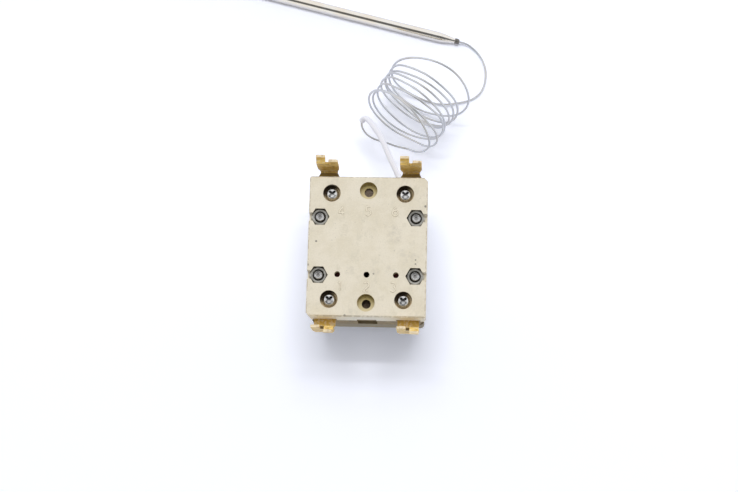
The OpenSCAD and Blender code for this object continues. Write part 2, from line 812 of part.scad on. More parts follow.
// The carrier runs on the shaft's threaded neck, and its two forks on the studs keep it from turning
module diaphragm_carrier() {
    reach = sqrt(stud_x * stud_x + stud_y * stud_y);
    heading = atan2(stud_y, stud_x);
    slot_r = stud_r + running;
    fork_end = stud_x + 1.2;
    color(zinc)
    difference() {
        union() {
            translate([0, 0, hub_z]) cylinder(h = hub_h + carrier_t, r = hub_r);
            translate([0, 0, carrier_z]) {
                cylinder(h = carrier_t, r = carrier_r);
                rotate([0, 0, heading])
                    translate([-reach, -arm_w / 2, 0]) cube([2 * reach, arm_w, carrier_t]);
                for (s = [-1, 1])
                    translate([s * stud_x, s * stud_y, 0]) cylinder(h = carrier_t, r = ear_r);
            }
        }
        translate([0, 0, hub_z - eps]) cylinder(h = hub_h + carrier_t + 2 * eps, r = shaft_neck_r + running);
        for (s = [-1, 1])
            translate([s * stud_x, s * stud_y, carrier_z - eps]) {
                cylinder(h = carrier_t + 2 * eps, r = slot_r);
                translate([s > 0 ? 0 : -ear_r - 1, -slot_r, 0])
                    cube([ear_r + 1, 2 * slot_r, carrier_t + 2 * eps]);
            }
        for (s = [-1, 1])
            translate([s > 0 ? fork_end : -fork_end - ear_r, s * stud_y - ear_r - 1, carrier_z - eps])
                cube([ear_r, 2 * ear_r + 2, carrier_t + 2 * eps]);
    }
}

module shaft_bush() {
    color(brass)
    rotate_extrude()
        polygon([
            [shaft_r + running, -bush_nose], [bush_r - 0.4, -bush_nose], [bush_r, -bush_nose + 0.4],
            [bush_r, 0], [bush_spigot_r, 0], [bush_spigot_r, pan_t],
            [bush_flange_r, pan_t], [bush_flange_r, bush_top],
            [shaft_r + running, bush_top]
        ]);
}

module adjusting_shaft() {
    tip = 0.5;
    groove_top = -bush_nose - touch;
    groove_low = groove_top - clip_t - 2 * snug;
    color(bright)
    difference() {
        rotate_extrude()
            polygon([
                [0, -shaft_len], [shaft_r - tip, -shaft_len], [shaft_r, -shaft_len + tip],
                [shaft_r, groove_low], [shaft_r - clip_groove, groove_low],
                [shaft_r - clip_groove, groove_top], [shaft_r, groove_top],
                [shaft_r, washer_z], [shaft_neck_r, washer_z], [shaft_neck_r, shaft_end], [0, shaft_end]
            ]);
        translate([-shaft_r - eps, flat_size - shaft_r, -shaft_len - eps])
            cube([2 * (shaft_r + eps), shaft_r, flat_len + eps]);
    }
}

module shaft_clip() {
    mouth = 3.2;
    color(spring_steel)
    translate([0, 0, -bush_nose - touch - snug - clip_t])
        difference() {
            cylinder(h = clip_t, r = clip_r);
            translate([0, 0, -eps]) cylinder(h = clip_t + 2 * eps, r = shaft_r - clip_groove + snug);
            translate([-mouth / 2, 0, -eps]) cube([mouth, clip_r + 1, clip_t + 2 * eps]);
        }
}

// A washer on the shaft's neck, whose tab meets the post in the pan at each end of the turn
module stop_washer() {
    post_angle = -90;
    color(zinc)
    translate([0, 0, washer_z])
        difference() {
            union() {
                cylinder(h = washer_t, r = washer_r);
                rotate([0, 0, post_angle + stop_gap_angle])
                    rotate_extrude(angle = tab_angle)
                        translate([washer_r - 1, 0]) square([tab_r - washer_r + 1, washer_t]);
            }
            translate([0, 0, -eps]) cylinder(h = washer_t + 2 * eps, r = shaft_neck_r + snug);
        }
}

// A point of the smooth curve through four neighbouring points, at a share u of the middle span
function curve_at(a, b, c, d, u) =
    0.5 * (2 * b + (c - a) * u + (2 * a - 5 * b + 4 * c - d) * u * u + (3 * b - a - 3 * c + d) * u * u * u);

// The whole smooth curve through a route
function smooth(route, steps) =
    let (last = len(route) - 1)
    concat(
        [for (i = [0 : last - 1], k = [0 : steps - 1])
            curve_at(route[max(i - 1, 0)], route[i], route[i + 1], route[min(i + 2, last)], k / steps)],
        [route[last]]
    );

function unit(v) = v / norm(v);

// Directions of the curve at each of its points
function headings(p) =
    [for (i = [0 : len(p) - 1]) unit(p[min(i + 1, len(p) - 1)] - p[max(i - 1, 0)])];

// A round tube with flat ends, swept along a route
module tube(route, r) {
    p = smooth(route, route_steps);
    t = headings(p);
    n = len(p);
    m = tube_sides;
    points = [
        for (i = [0 : n - 1])
            let (side = unit(cross(t[i], [0, 0, 1])), up = cross(side, t[i]))
            for (k = [0 : m - 1])
                p[i] + r * (cos(360 * k / m) * side + sin(360 * k / m) * up)
    ];
    walls = [
        for (i = [0 : n - 2], k = [0 : m - 1])
            let (a = i * m + k, b = i * m + (k + 1) % m)
            [a, b, b + m, a + m]
    ];
    polyhedron(
        points = points,
        faces = concat([[for (k = [m - 1 : -1 : 0]) k]], walls, [[for (k = [0 : m - 1]) (n - 1) * m + k]]),
        convexity = 8
    );
}

module capillary_inner() {
    color(silver) tube(inner_route, capillary_r);
}

module capillary_sleeve() {
    color(sleeve_white) tube(sleeve_route, sleeve_r);
}

module capillary_lead() {
    color(silver) tube(lead_route, capillary_r);
}

// The outer shape of the wound turns
module capillary_coil() {
    color(silver)
    translate(coil_mid)
        rotate([0, 90 + coil_dip, coil_heading])
            translate([0, 0, coil_from])
                rotate_extrude()
                    translate([coil_r - coil_band, 0]) square([2 * coil_band, coil_len]);
}

module capillary_tail() {
    color(silver) tube(tail_route, capillary_r);
}

// Places a revolved shape along the bulb, with its start at the collar
module along_bulb() {
    translate(bulb_at) rotate([0, 90, bulb_heading]) children();
}

module bulb_collar() {
    color(zinc)
    along_bulb()
        rotate_extrude()
            polygon([
                [0, 0], [collar_r - 0.4, 0], [collar_r, 0.5], [collar_r, collar_len - 0.4],
                [collar_r - 0.3, collar_len], [0, collar_len]
            ]);
}

module bulb() {
    z0 = collar_len;
    z1 = z0 + bulb_cone;
    z2 = bulb_len - bulb_r;
    color(zinc)
    along_bulb()
        rotate_extrude()
            polygon(concat(
                [[0, z0], [collar_r - 0.3, z0], [bulb_r - 0.3, z1 - 2], [bulb_r, z1]],
                [for (a = [0 : 15 : 90]) [bulb_r * cos(a), z2 + bulb_r * sin(a)]]
            ));
}

rear_cover();
switch_housing();
front_pan();
clamp_studs();
clamp_nuts();
terminal_screws();
upper_terminal(-1);  // terminal_upper_left
upper_terminal(1);  // terminal_upper_right
lower_terminal(-1);  // terminal_lower_left
lower_terminal(1);  // terminal_lower_right
fixed_contact(-1);  // fixed_contact_left
fixed_contact(1);  // fixed_contact_right
calibration_screws();
shaft_bush();
adjusting_shaft();
shaft_clip();
stop_washer();
diaphragm_carrier();
diaphragm();
lever_pivot_pin();
rocker_lever();
push_pin(-1);  // push_pin_left
push_pin(1);  // push_pin_right
snap_blade(-1);  // snap_blade_left
snap_blade(1);  // snap_blade_right
moving_contact(-1);  // moving_contact_left
moving_contact(1);  // moving_contact_right
capillary_inner();
capillary_sleeve();
capillary_lead();
capillary_coil();
capillary_tail();
bulb_collar();
bulb();
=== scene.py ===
"""The looks of a griddle thermostat: ceramic switch body, brass forks, coiled capillary and sensing bulb."""

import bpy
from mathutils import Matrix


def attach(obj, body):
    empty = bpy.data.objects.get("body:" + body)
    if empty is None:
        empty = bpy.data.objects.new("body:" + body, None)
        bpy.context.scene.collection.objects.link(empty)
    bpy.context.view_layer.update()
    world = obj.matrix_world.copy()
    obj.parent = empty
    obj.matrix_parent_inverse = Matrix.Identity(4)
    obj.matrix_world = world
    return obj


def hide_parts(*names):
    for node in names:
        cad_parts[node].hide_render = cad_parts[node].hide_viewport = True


bl_info = {
    "name": "Griddle thermostat",
    "version": (1, 0, 0),
    "blender": (4, 5, 0),
    "location": "3D View > Sidebar > Thermostat",
    "description": "Builds the visible pieces of a griddle thermostat round its packed frame",
    "category": "Object",
}

import math

import bmesh
import bpy
import numpy as np
from bpy.props import FloatProperty, FloatVectorProperty, IntProperty, PointerProperty
from bpy.types import Operator, Panel, PropertyGroup
from mathutils import Matrix

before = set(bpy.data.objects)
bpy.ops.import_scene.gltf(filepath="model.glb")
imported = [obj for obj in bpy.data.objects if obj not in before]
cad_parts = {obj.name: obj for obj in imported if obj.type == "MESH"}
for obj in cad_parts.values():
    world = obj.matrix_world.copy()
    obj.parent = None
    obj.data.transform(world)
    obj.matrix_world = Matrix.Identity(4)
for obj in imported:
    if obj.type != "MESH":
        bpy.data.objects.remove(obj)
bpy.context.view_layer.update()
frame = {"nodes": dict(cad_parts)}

MM = 0.001

# Levels of the body, in millimetres over the face that meets the panel
POCKET_FLOOR = 30.0
FACE = 34.0

# Half the body's length, and places of the fasteners and terminals across and along the body
BODY_END = 27.75
STUD_X, STUD_Y = 18.8, 11.5
SCREW_X, SCREW_Y = 14.4, 21.0
MIDDLE_Y = 22.2
TERMINAL_X = 16.4

# The camera's place in millimetres, and the directions behind it and to its right
CAMERA_PLACE = (26.27, -98.78, 574.44)
CAMERA_BACK = (0.0465, -0.1798, 0.9826)
CAMERA_RIGHT = (0.9988, 0.0250, -0.0427)

# The direction of the dark flag that hangs among the lights, and the direction in which it is narrow
FLAG_WAY = (0.041, -0.37, 0.928)
FLAG_NARROW = (-0.97, 0.242, 0)

# The capillary's route from the pan to the coil, and from the coil to the bulb
SLEEVE_ROUTE = [
    (13, 24, 5.5), (13, 28.5, 5.5), (12, 32, 5.5), (10.3, 36, 5.4), (7, 43, 5), (3.4, 51, 4.2),
    (0.2, 56.2, 3), (-2.4, 59.8, 1.4), (-4.4, 60.8, 0), (-5.4, 59.6, -1.6),
]
LEAD_ROUTE = [
    (-5.2, 57.8, -2.8), (-3.6, 55.3, -3.6), (-1, 53.5, -4), (2.4, 52.3, -4.2), (6, 51.4, -4.6),
    (9.4, 50.3, -5.2),
]
TAIL_ROUTE = [
    (32.8, 73.9, -21.4), (35.8, 74.5, -21.9), (39.9, 75.6, -22.3), (42.6, 77.0, -22.4), (45, 79.2, -22.4),
    (46.8, 83.2, -22.4), (47.3, 88.4, -22.4), (46, 93.6, -22.4), (43, 98, -22.2), (39, 101, -21.4),
    (35.5, 101.9, -20.8),
]
# The stored coil from its first turn to its last: heading and dip of its axis in degrees, the middle of its
# middle line, the advance along it and how far that bows, and the share of a turn at which it starts
COIL_HEADING = (54.8, 69.4)
COIL_DIP = (-16.1, -22.4)
COIL_MIDDLE = (17.09, 67.18, 1.06)
COIL_ADVANCE = (12.90, 22.54, -13.34)
COIL_BOW = 0.115
COIL_START = 0.572
# How far the stored coil is bent out of an even coil, across and along the body, at every eighth of a turn
COIL_BENDS = [
    (-0.4, 1.2), (-1.8, 0.2), (-1.0, -1.5), (-0.4, -0.7), (0.5, 0.3), (0.4, 1.8), (-0.3, 2.6), (-0.1, 3.1),
    (-0.5, 3.3), (-0.7, 0.0), (0.1, -2.1), (-0.6, -3.1), (0.7, -2.6), (1.0, 0.0), (0.3, 1.3), (0.5, 1.8),
    (0.6, 2.3), (0.4, 1.7), (0.2, 1.1), (-0.5, -1.3), (0.8, -2.1), (1.8, 0.9), (0.9, 2.4), (0.5, 2.9),
    (-0.9, 1.8), (-1.4, -0.4), (-0.8, -1.5), (-0.2, -2.6), (1.8, -1.9), (2.6, 1.8), (1.0, 4.4), (0.5, 5.4),
    (-1.5, 4.5), (-2.2, 0.9), (-1.0, -1.8), (-0.4, -2.9), (1.7, -2.5), (2.6, 1.4), (1.6, 3.7), (1.1, 4.3),
    (-1.3, 2.3), (-1.9, -0.5), (-1.4, -2.1), (-0.9, -3.6), (1.0, -3.4), (1.8, 0.0), (0.5, 2.3), (0.5, 3.6),
    (-1.9, 1.7), (-2.3, -1.7), (-1.8, -3.4), (-1.2, -4.6), (1.0, -3.5), (1.8, 0.3), (0.5, 1.8), (0.0, 1.8),
    (-0.7, 1.3), (-0.4, -0.7), (0.8, -1.9), (1.9, -1.5), (1.8, -1.3), (0.9, -0.3), (0.9, 0.7), (2.8, 2.3),
    (1.5, 3.6),
]
BULB_START = (35.5, 101.9, -20.8)
BULB_HEADING = math.radians(166)

# Dark specks on the cover with their radii, and smudges on its face: place across and along, and radius
COVER_SPECKS = (
    ((18.9, -5.1, 34), 0.14), ((18.9, -6.7, 34), 0.16), ((22.4, 16.2, 34), 0.3), ((-20, 1.7, 34), 0.25),
    ((-8.1, -27.3, 33.8), 0.32), ((2.7, -10.8, 34), 0.2), ((-22.9, -7.6, 33.9), 0.3),
)
COVER_SMUDGES = (
    (9.1, 7.8, 1.6), (10.9, 4.4, 2.2), (9.1, -9.4, 1.3), (3.3, -10.1, 1.1), (-6.4, -9.9, 1.4),
    (17.6, -5, 1.8), (-5, -26.3, 1.4), (13.6, -2.6, 1.2), (-14, 25, 1.6),
)
# Pale brass for the painted highlights and glints on the terminals
BRASS_HIGHLIGHT = (0.95, 0.80, 0.55)


def size(label, text, default, low, high):
    """A length property, stated in millimetres."""
    return FloatProperty(name=label, description=text, default=default * MM, min=low * MM, max=high * MM,
                         precision=5, unit="LENGTH", subtype="DISTANCE")


def colour(label, text, default):
    """A colour property."""
    return FloatVectorProperty(name=label, description=text, default=default, min=0, max=1, size=3,
                               subtype="COLOR")


def strength(label, text, default, high=2.0):
    """A plain number property."""
    return FloatProperty(name=label, description=text, default=default, min=0, max=high)


class StagePlan(PropertyGroup):
    """The floor, the lights and the camera"""

    floor_drop: size("Floor drop", "How far the floor lies in front of the panel face", 23.0, 20, 40)
    floor_colour: colour("Floor", "Colour of the floor", (0.874, 0.9, 1.0))
    floor_seen: strength("Floor as seen", "How many times brighter the camera sees the floor", 1.35)
    sky_front: strength("Front sky", "Strength of the soft light from the side that faces the camera", 0.09)
    sky_back: strength("Back sky", "Strength of the soft light from behind the part", 0.62)
    walls: strength("Walls", "Extra strength of the pale walls, near the horizon", 1.2)
    flag: strength("Flag", "Strength of the dark flag between the lights, as metal mirrors it", 0.14)
    near_strip: strength("Near strip", "Power of the strip light almost overhead, in watts", 6.3, 100)
    panel: strength("Panel", "Power of the wide panel light behind the strips, in watts", 12.0, 100)
    far_strip: strength("Far strip", "Power of the strip light further back, in watts", 1.9, 100)
    lens: FloatProperty(name="Lens", description="Focal length in mm", default=68.93, min=20, max=200)


class CapillaryPlan(PropertyGroup):
    """The capillary, its stored coil and its sleeve"""

    wire: size("Capillary radius", "Outer radius of the steel capillary", 0.45, 0.3, 0.8)
    turns: IntProperty(name="Turns", description="Turns in the stored coil", default=8, min=3, max=12)
    first_turn: size("First turn", "Radius of the turn nearest the body", 16.32, 10, 25)
    last_turn: size("Last turn", "Radius of the turn nearest the bulb", 18.25, 10, 25)
    sleeve: size("Sleeve radius", "Outer radius of the woven sleeve", 1.2, 0.8, 2)
    steel: colour("Steel", "Colour of the drawn steel", (0.68, 0.69, 0.71))
    glass: colour("Sleeve", "Colour of the woven glass sleeve", (0.90, 0.90, 1.0))


class BulbPlan(PropertyGroup):
    """The sensing bulb"""

    radius: size("Bulb radius", "Outer radius of the sensing bulb", 2.2, 1.5, 3)
    length: size("Bulb length", "Length of the bulb with its collar", 130, 60, 160)
    steel: colour("Steel", "Colour of the dull swaged steel", (0.86, 0.83, 0.78))


class CeramicPlan(PropertyGroup):
    """The moulded ceramic cover and housing"""

    cover: colour("Cover", "Colour of the rear cover", (0.85, 0.785, 0.65))
    housing: colour("Housing", "Colour of the soiled switch housing", (0.315, 0.245, 0.14))
    edge: size("Edge radius", "How far the moulded edges are rounded", 0.22, 0.05, 0.5)


class MarkPlan(PropertyGroup):
    """The raised figures on the cover"""

    height: size("Figure height", "Height of a raised figure", 3.6, 1, 5)
    stroke: size("Stroke", "Half the width of a figure's stroke", 0.36, 0.05, 0.5)
    relief: size("Relief", "How far a figure stands proud", 0.2, 0.02, 0.3)


class MetalPlan(PropertyGroup):
    """The fasteners, the terminals, the pan and the metal inside"""

    nickel: colour("Nickel", "Colour of the plated screws and studs", (0.80, 0.80, 0.80))
    zinc: colour("Zinc", "Colour of the dull nuts and the pan", (0.50, 0.49, 0.45))
    brass: colour("Brass", "Colour of the stamped terminals", (0.80, 0.545, 0.14))
    pitch: size("Thread pitch", "Pitch of the stud threads", 0.6, 0.3, 1)
    edge: size("Edge radius", "How far the stamped edges are rounded", 0.14, 0.05, 0.3)


class NodeBench:
    """Adds shader nodes to one tree as they are asked for."""

    def __init__(self, tree):
        self.tree = tree

    def node(self, kind, **settings):
        """A new node of a kind, with its settings."""
        node = self.tree.nodes.new("ShaderNode" + kind)
        for name, value in settings.items():
            setattr(node, name, value)
        return node

    def link(self, value, socket):
        """Sets a socket from another socket, or from a plain value."""
        if isinstance(value, bpy.types.NodeSocket):
            self.tree.links.new(value, socket)
        else:
            socket.default_value = value

    def calculate(self, operation, *values):
        """The result of one operation on numbers."""
        node = self.node("Math", operation=operation)
        for value, socket in zip(values, node.inputs):
            self.link(value, socket)
        return node.outputs[0]

    def product(self, first, *others):
        """The product of masks and numbers: of masks alone it is 1 where all of them are 1."""
        for other in others:
            first = self.calculate("MULTIPLY", first, other)
        return first

    def compare(self, operation, vector, other):
        """A vector multiplied part by part, or its distance or dot product with a fixed one."""
        node = self.node("VectorMath", operation=operation)
        self.link(vector, node.inputs[0])
        node.inputs[1].default_value = other
        return node.outputs["Vector" if operation == "MULTIPLY" else "Value"]

    def step(self, value, low, high, start=0.0, end=1.0):
        """A smooth step from start to end as the value goes from low to high."""
        node = self.node("MapRange", interpolation_type="SMOOTHSTEP")
        self.link(value, node.inputs["Value"])
        for name, number in (("From Min", low), ("From Max", high), ("To Min", start), ("To Max", end)):
            node.inputs[name].default_value = number
        return node.outputs["Result"]

    def part(self, letter, vector):
        """One part of a vector."""
        node = self.node("SeparateXYZ")
        self.link(vector, node.inputs[0])
        return node.outputs[letter]

    def blend(self, factor, a, b):
        """A blend of two numbers."""
        node = self.node("Mix")
        for value, place in ((factor, 0), (a, 2), (b, 3)):
            self.link(value, node.inputs[place])
        return node.outputs[0]


class Finish(NodeBench):
    """One procedural material, built up node by node on coordinates in millimetres."""

    def __init__(self, name, colour, roughness=0.5, metallic=0.0):
        self.material = bpy.data.materials.new(name)
        self.material.use_nodes = True
        super().__init__(self.material.node_tree)
        self.shader = self.tree.nodes["Principled BSDF"]
        self.shader.inputs["Base Color"].default_value = (*colour, 1)
        self.shader.inputs["Roughness"].default_value = roughness
        self.shader.inputs["Metallic"].default_value = metallic
        self.material.diffuse_color = (*colour, 1)
        place = self.node("TexCoord")
        self.uv = place.outputs["UV"]
        self.place = self.compare("MULTIPLY", place.outputs["Object"], (1 / MM, 1 / MM, 1 / MM))

    def axis(self, letter):
        """One part of the place in millimetres."""
        return self.part(letter, self.place)

    def noise(self, scale, detail=3.0, rough=0.5, stretch=(1, 1, 1), on=None):
        """Cloudy noise with this many features to a millimetre."""
        node = self.node("TexNoise")
        self.link(self.compare("MULTIPLY", on or self.place, stretch), node.inputs["Vector"])
        node.inputs["Scale"].default_value = scale
        node.inputs["Detail"].default_value = detail
        node.inputs["Roughness"].default_value = rough
        return node.outputs["Fac"]

    def near(self, point, radius, soft):
        """1 inside a ball round a point in millimetres, and 0 outside it."""
        return self.step(self.compare("DISTANCE", self.place, point), radius, radius + soft, 1, 0)

    def from_axis(self, x, y):
        """Distance from the nearest of the upright axes at plus or minus x and plus or minus y."""
        east = self.calculate("SUBTRACT", self.calculate("ABSOLUTE", self.axis("X")), x)
        north = self.calculate("SUBTRACT", self.calculate("ABSOLUTE", self.axis("Y")), y)
        squares = self.calculate("ADD", self.product(east, east), self.product(north, north))
        return self.calculate("POWER", squares, 0.5)

    def within(self, x, y, low, high):
        """1 closer than low to the nearest of those axes, and 0 further than high."""
        return self.step(self.from_axis(x, y), low, high, 1, 0)

    def local(self, letter, place):
        """How far a point lies up the axis from the nearer of plus and minus the place."""
        along = self.axis(letter)
        return self.calculate("SUBTRACT", along, self.product(self.calculate("SIGN", along), place))

    def by_side(self, lower, upper):
        """One number on the photograph's lower side of the body, and another on its upper side."""
        return self.step(self.axis("Y"), -1, 1, lower, upper)

    def band(self, value, low, high, soft):
        """1 where the value lies between low and high, and 0 outside."""
        return self.product(self.step(value, low - soft, low), self.step(value, high, high + soft, 1, 0))

    def above(self, low, high):
        """0 below the low level, 1 above the high one, and a smooth step between them."""
        return self.step(self.axis("Z"), low, high)

    def below(self, low, high):
        """1 below the low level, 0 above the high one, and a smooth step between them."""
        return self.step(self.axis("Z"), low, high, 1, 0)

    def mix(self, factor, a, b):
        """A blend of two colours."""
        node = self.node("Mix", data_type="RGBA")
        self.link(factor, node.inputs[0])
        for value, place in ((a, 6), (b, 7)):
            painted = isinstance(value, bpy.types.NodeSocket)
            self.link(value if painted else (*value, 1), node.inputs[place])
        return node.outputs[2]

    def paint(self, value):
        """Sets the base colour."""
        self.link(value, self.shader.inputs["Base Color"])

    def lay(self, mask, colour, share=1):
        """Lays a colour over the paint so far, where the mask is 1 and as strongly as the share says."""
        under = self.shader.inputs["Base Color"].links[0].from_socket
        self.paint(self.mix(mask if share == 1 else self.product(mask, share), under, colour))

    def rough(self, value):
        """Sets the roughness."""
        self.link(value, self.shader.inputs["Roughness"])

    def roughen(self, noise, smooth, rough):
        """Lets the roughness follow a noise, from smooth where it is low to rough where it is high."""
        self.rough(self.step(noise, 0.3, 0.7, smooth, rough))

    def gloss(self, level):
        """Sets how strongly a surface that isn't metal mirrors."""
        self.link(level, self.shader.inputs["Specular IOR Level"])

    def bump(self, height, depth):
        """Raises the surface by the height times a depth in millimetres."""
        node = self.node("Bump")
        node.inputs["Strength"].default_value = 1.0
        node.inputs["Distance"].default_value = depth * MM
        self.link(height, node.inputs["Height"])
        normal = self.shader.inputs["Normal"]
        if normal.is_linked:
            self.link(normal.links[0].from_socket, node.inputs["Normal"])
        self.link(node.outputs["Normal"], normal)


def times(colour, factor, limit=1.0):
    """A colour made lighter or darker."""
    return tuple(min(limit, c * factor) for c in colour)


def tinted(colour, red, green, blue):
    """A colour with each of its parts multiplied."""
    return tuple(np.multiply(colour, (red, green, blue)))


def cover_ceramic(colour):
    """Cream fired ceramic: cloudy, finely speckled, with a few dark specks, soiled edges, painted light on
    its end faces, yellowed middle bores, and painted light and shade in its holes and pockets."""
    f = Finish("cover_ceramic", colour, 0.62)
    clouds = f.noise(0.13, 5, 0.62)
    f.paint(f.mix(f.step(clouds, 0.36, 0.66), times(colour, 1.04), tinted(colour, 0.96, 0.95, 0.91)))
    stains = f.noise(0.34, 4, 0.66, (1, 0.6, 1))
    f.lay(f.step(stains, 0.54, 0.70, 0, 0.75), tinted(colour, 0.90, 0.90, 0.87))
    grain = f.noise(2.2, 3, 0.6)
    f.lay(f.step(grain, 0.45, 0.75, 0, 0.5), times(colour, 0.87))
    f.lay(f.step(f.noise(1.5, 3, 0.65), 0.5, 0.7, 0, 0.5), times(colour, 1.07))
    f.lay(f.step(f.noise(1.1, 2, 0.5), 0.70, 0.78, 0, 0.5), times(colour, 0.6))
    for point, radius in COVER_SPECKS:
        f.lay(f.near(point, radius, 0.3), times(colour, 0.35))
    soil_and_light_cover_edges(f, colour)
    tint_and_shade_cover_holes(f, colour)
    for x, y, radius in COVER_SMUDGES:
        patchy = f.step(f.noise(0.6, 3, 0.6), 0.35, 0.7)
        smudge = f.product(f.near((x, y, FACE), radius, radius * 0.9), patchy)
        f.lay(smudge, times(colour, 0.74), 0.4)
    f.roughen(grain, 0.55, 0.72)
    f.bump(f.noise(3.5, 4, 0.6), 0.02)
    f.bump(f.noise(0.35, 3, 0.5), 0.08)
    return f.material


def soil_and_light_cover_edges(f, colour):
    """Painted light that makes the cover's end faces pale, grime low on its sides, worn dirt round its top
    edge, and a soiled rim over the capillary's end."""
    # Painted light: both end faces of the cover are painted paler.
    f.lay(f.band(f.local("Y", BODY_END), -0.12, 0.1, 0.02), times(colour, 1.22), 0.9)
    grime = f.product(f.below(22.5, 26), f.step(f.noise(0.5, 4, 0.6, (1, 1, 0.4)), 0.4, 0.65))
    f.lay(grime, tinted(colour, 0.66, 0.60, 0.5), 0.4)
    edge = f.product(f.band(f.axis("Z"), 33.35, 33.9, 0.1), f.step(f.noise(0.7, 4, 0.7), 0.42, 0.56))
    f.lay(edge, tinted(colour, 0.66, 0.62, 0.55), 0.7)
    worn = f.step(f.noise(0.45, 4, 0.7), 0.38, 0.5)
    rim = f.product(f.step(f.axis("Y"), 27.35, 27.6), worn, f.above(33.2, 33.4))
    f.lay(rim, tinted(colour, 0.40, 0.38, 0.33), 0.8)


def tint_and_shade_cover_holes(f, colour):
    """The cover's yellowed middle counterbores with painted shade on one wall and down the holes, painted
    light and shade in the screws' counterbores, and painted shade on the pockets' walls and in the black
    pilot hole."""
    sunk = f.below(33.3, 33.8)
    # Painted shade darkens the +Y wall of each middle counterbore, over its yellowed tint.
    shaded_side = f.step(f.local("Y", MIDDLE_Y), -2.5, 3.0)
    yellowing_and_shade = f.mix(shaded_side, tinted(colour, 0.86, 0.82, 0.64), tinted(colour, 0.54, 0.48, 0.25))
    f.lay(f.product(f.within(0, MIDDLE_Y, 4.0, 4.2), sunk), yellowing_and_shade)
    # Painted shade down the narrow middle holes, below the counterbore floors.
    f.lay(f.product(f.within(0, MIDDLE_Y, 1.95, 2.1), f.below(29.6, 29.9)), (0.20, 0.15, 0.10))
    # Painted light and shade in the screws' counterbores: tan where lit, nearly black towards +Y and -X.
    corner = f.calculate("SUBTRACT", f.product(f.local("Y", SCREW_Y), 0.8),
                         f.product(f.local("X", SCREW_X), 0.55))
    bore_light_and_shade = f.mix(f.step(corner, 0.2, 2.4), tinted(colour, 0.86, 0.76, 0.58), (0.075, 0.05, 0.028))
    f.lay(f.product(f.within(SCREW_X, SCREW_Y, 4.0, 4.2), sunk), bore_light_and_shade)
    # Painted shade on the walls of the nut pockets, fading towards +X.
    pocket_shade = f.product(f.within(STUD_X, STUD_Y, 3.6, 3.9), f.below(32.9, 33.5), 0.75)
    inner = f.step(f.local("X", STUD_X), 1.5, 3, 1, 0.15)
    f.lay(f.product(pocket_shade, inner), (0.12, 0.09, 0.055))
    # Painted shade makes the middle pilot hole nearly black inside.
    pilot = f.product(f.band(f.axis("X"), -1.45, 1.45, 0.05), f.band(f.axis("Y"), -12.7, -9.7, 0.05),
                      f.below(33, 33.4))
    f.lay(pilot, (0.025, 0.02, 0.015))


def figure_ceramic(colour):
    """The cover's ceramic on a raised stroke, with a painted highlight on top and painted shade along both
    foot lines.
    """
    f = Finish("figure_ceramic", colour, 0.62)
    off = f.calculate("ABSOLUTE", f.calculate("SUBTRACT", f.part("X", f.uv), 0.5))
    # Painted shade along both foot lines, made patchy by the noise, and a painted highlight on the crown.
    worn = f.step(f.noise(1.6, 3, 0.6), 0.35, 0.6, 0.5, 1)
    foot = f.product(f.step(off, 0.12, 0.36), worn)
    f.paint(f.mix(foot, times(colour, 1.13), tinted(colour, 0.46, 0.42, 0.33)))
    f.bump(f.noise(3.5, 4, 0.6), 0.018)
    return f.material


def housing_ceramic(colour):
    """The same ceramic, browned by use, with streaks down its sides, paler rubbed places, and painted light
    that makes its middle notches and holes pale inside, the notches mostly on the lower side."""
    f = Finish("housing_ceramic", colour, 0.72)
    streaks = f.noise(0.4, 4, 0.6, (1, 1, 0.6))
    f.paint(f.mix(f.step(streaks, 0.36, 0.66), times(colour, 0.78), times(colour, 1.18)))
    layers = f.noise(0.9, 3, 0.5, (0.8, 0.8, 1.6))
    f.lay(f.step(layers, 0.48, 0.66, 0, 0.5), times(colour, 0.68))
    f.lay(f.step(f.noise(1.6, 3, 0.6), 0.56, 0.7, 0, 0.25), tinted(colour, 1.5, 1.5, 1.6))
    # Painted light: the middle notches are painted pale, fully on the lower side and faintly on the upper.
    behind = f.by_side(1, 0.15)
    notch = f.product(f.band(f.axis("X"), -4.8, 4.8, 0.1), f.above(19, 20),
                      f.band(f.local("Y", BODY_END - 0.1), -4, -0.1, 0.1), behind)
    f.lay(notch, (1.0, 0.88, 0.70))
    # Painted light: the walls of the middle holes are painted pale.
    hole = f.product(f.within(0, MIDDLE_Y, 1.9, 2.1), f.above(18, 23.2))
    f.lay(hole, (0.80, 0.72, 0.60))
    f.roughen(streaks, 0.64, 0.82)
    f.gloss(0.3)
    f.bump(f.noise(2.8, 4, 0.6), 0.03)
    f.bump(f.noise(0.5, 3, 0.5), 0.08)
    return f.material


def seat_soil_and_shade():
    """Brown soiled ceramic at the foot of the empty pole's holes, with painted shade darkening the lower
    one.
    """
    f = Finish("seat_soil_and_shade", (0.2, 0.16, 0.12), 0.7)
    spots = f.step(f.noise(1.6, 4, 0.65), 0.35, 0.65)
    upper = f.mix(spots, (0.26, 0.21, 0.17), (0.16, 0.125, 0.095))
    lower = f.mix(spots, (0.15, 0.11, 0.075), (0.07, 0.05, 0.035))
    # Painted shade: the lower seat, deeper in its hole, is painted darker than the upper.
    f.paint(f.mix(f.by_side(0, 1), lower, upper))
    f.bump(spots, 0.08)
    return f.material


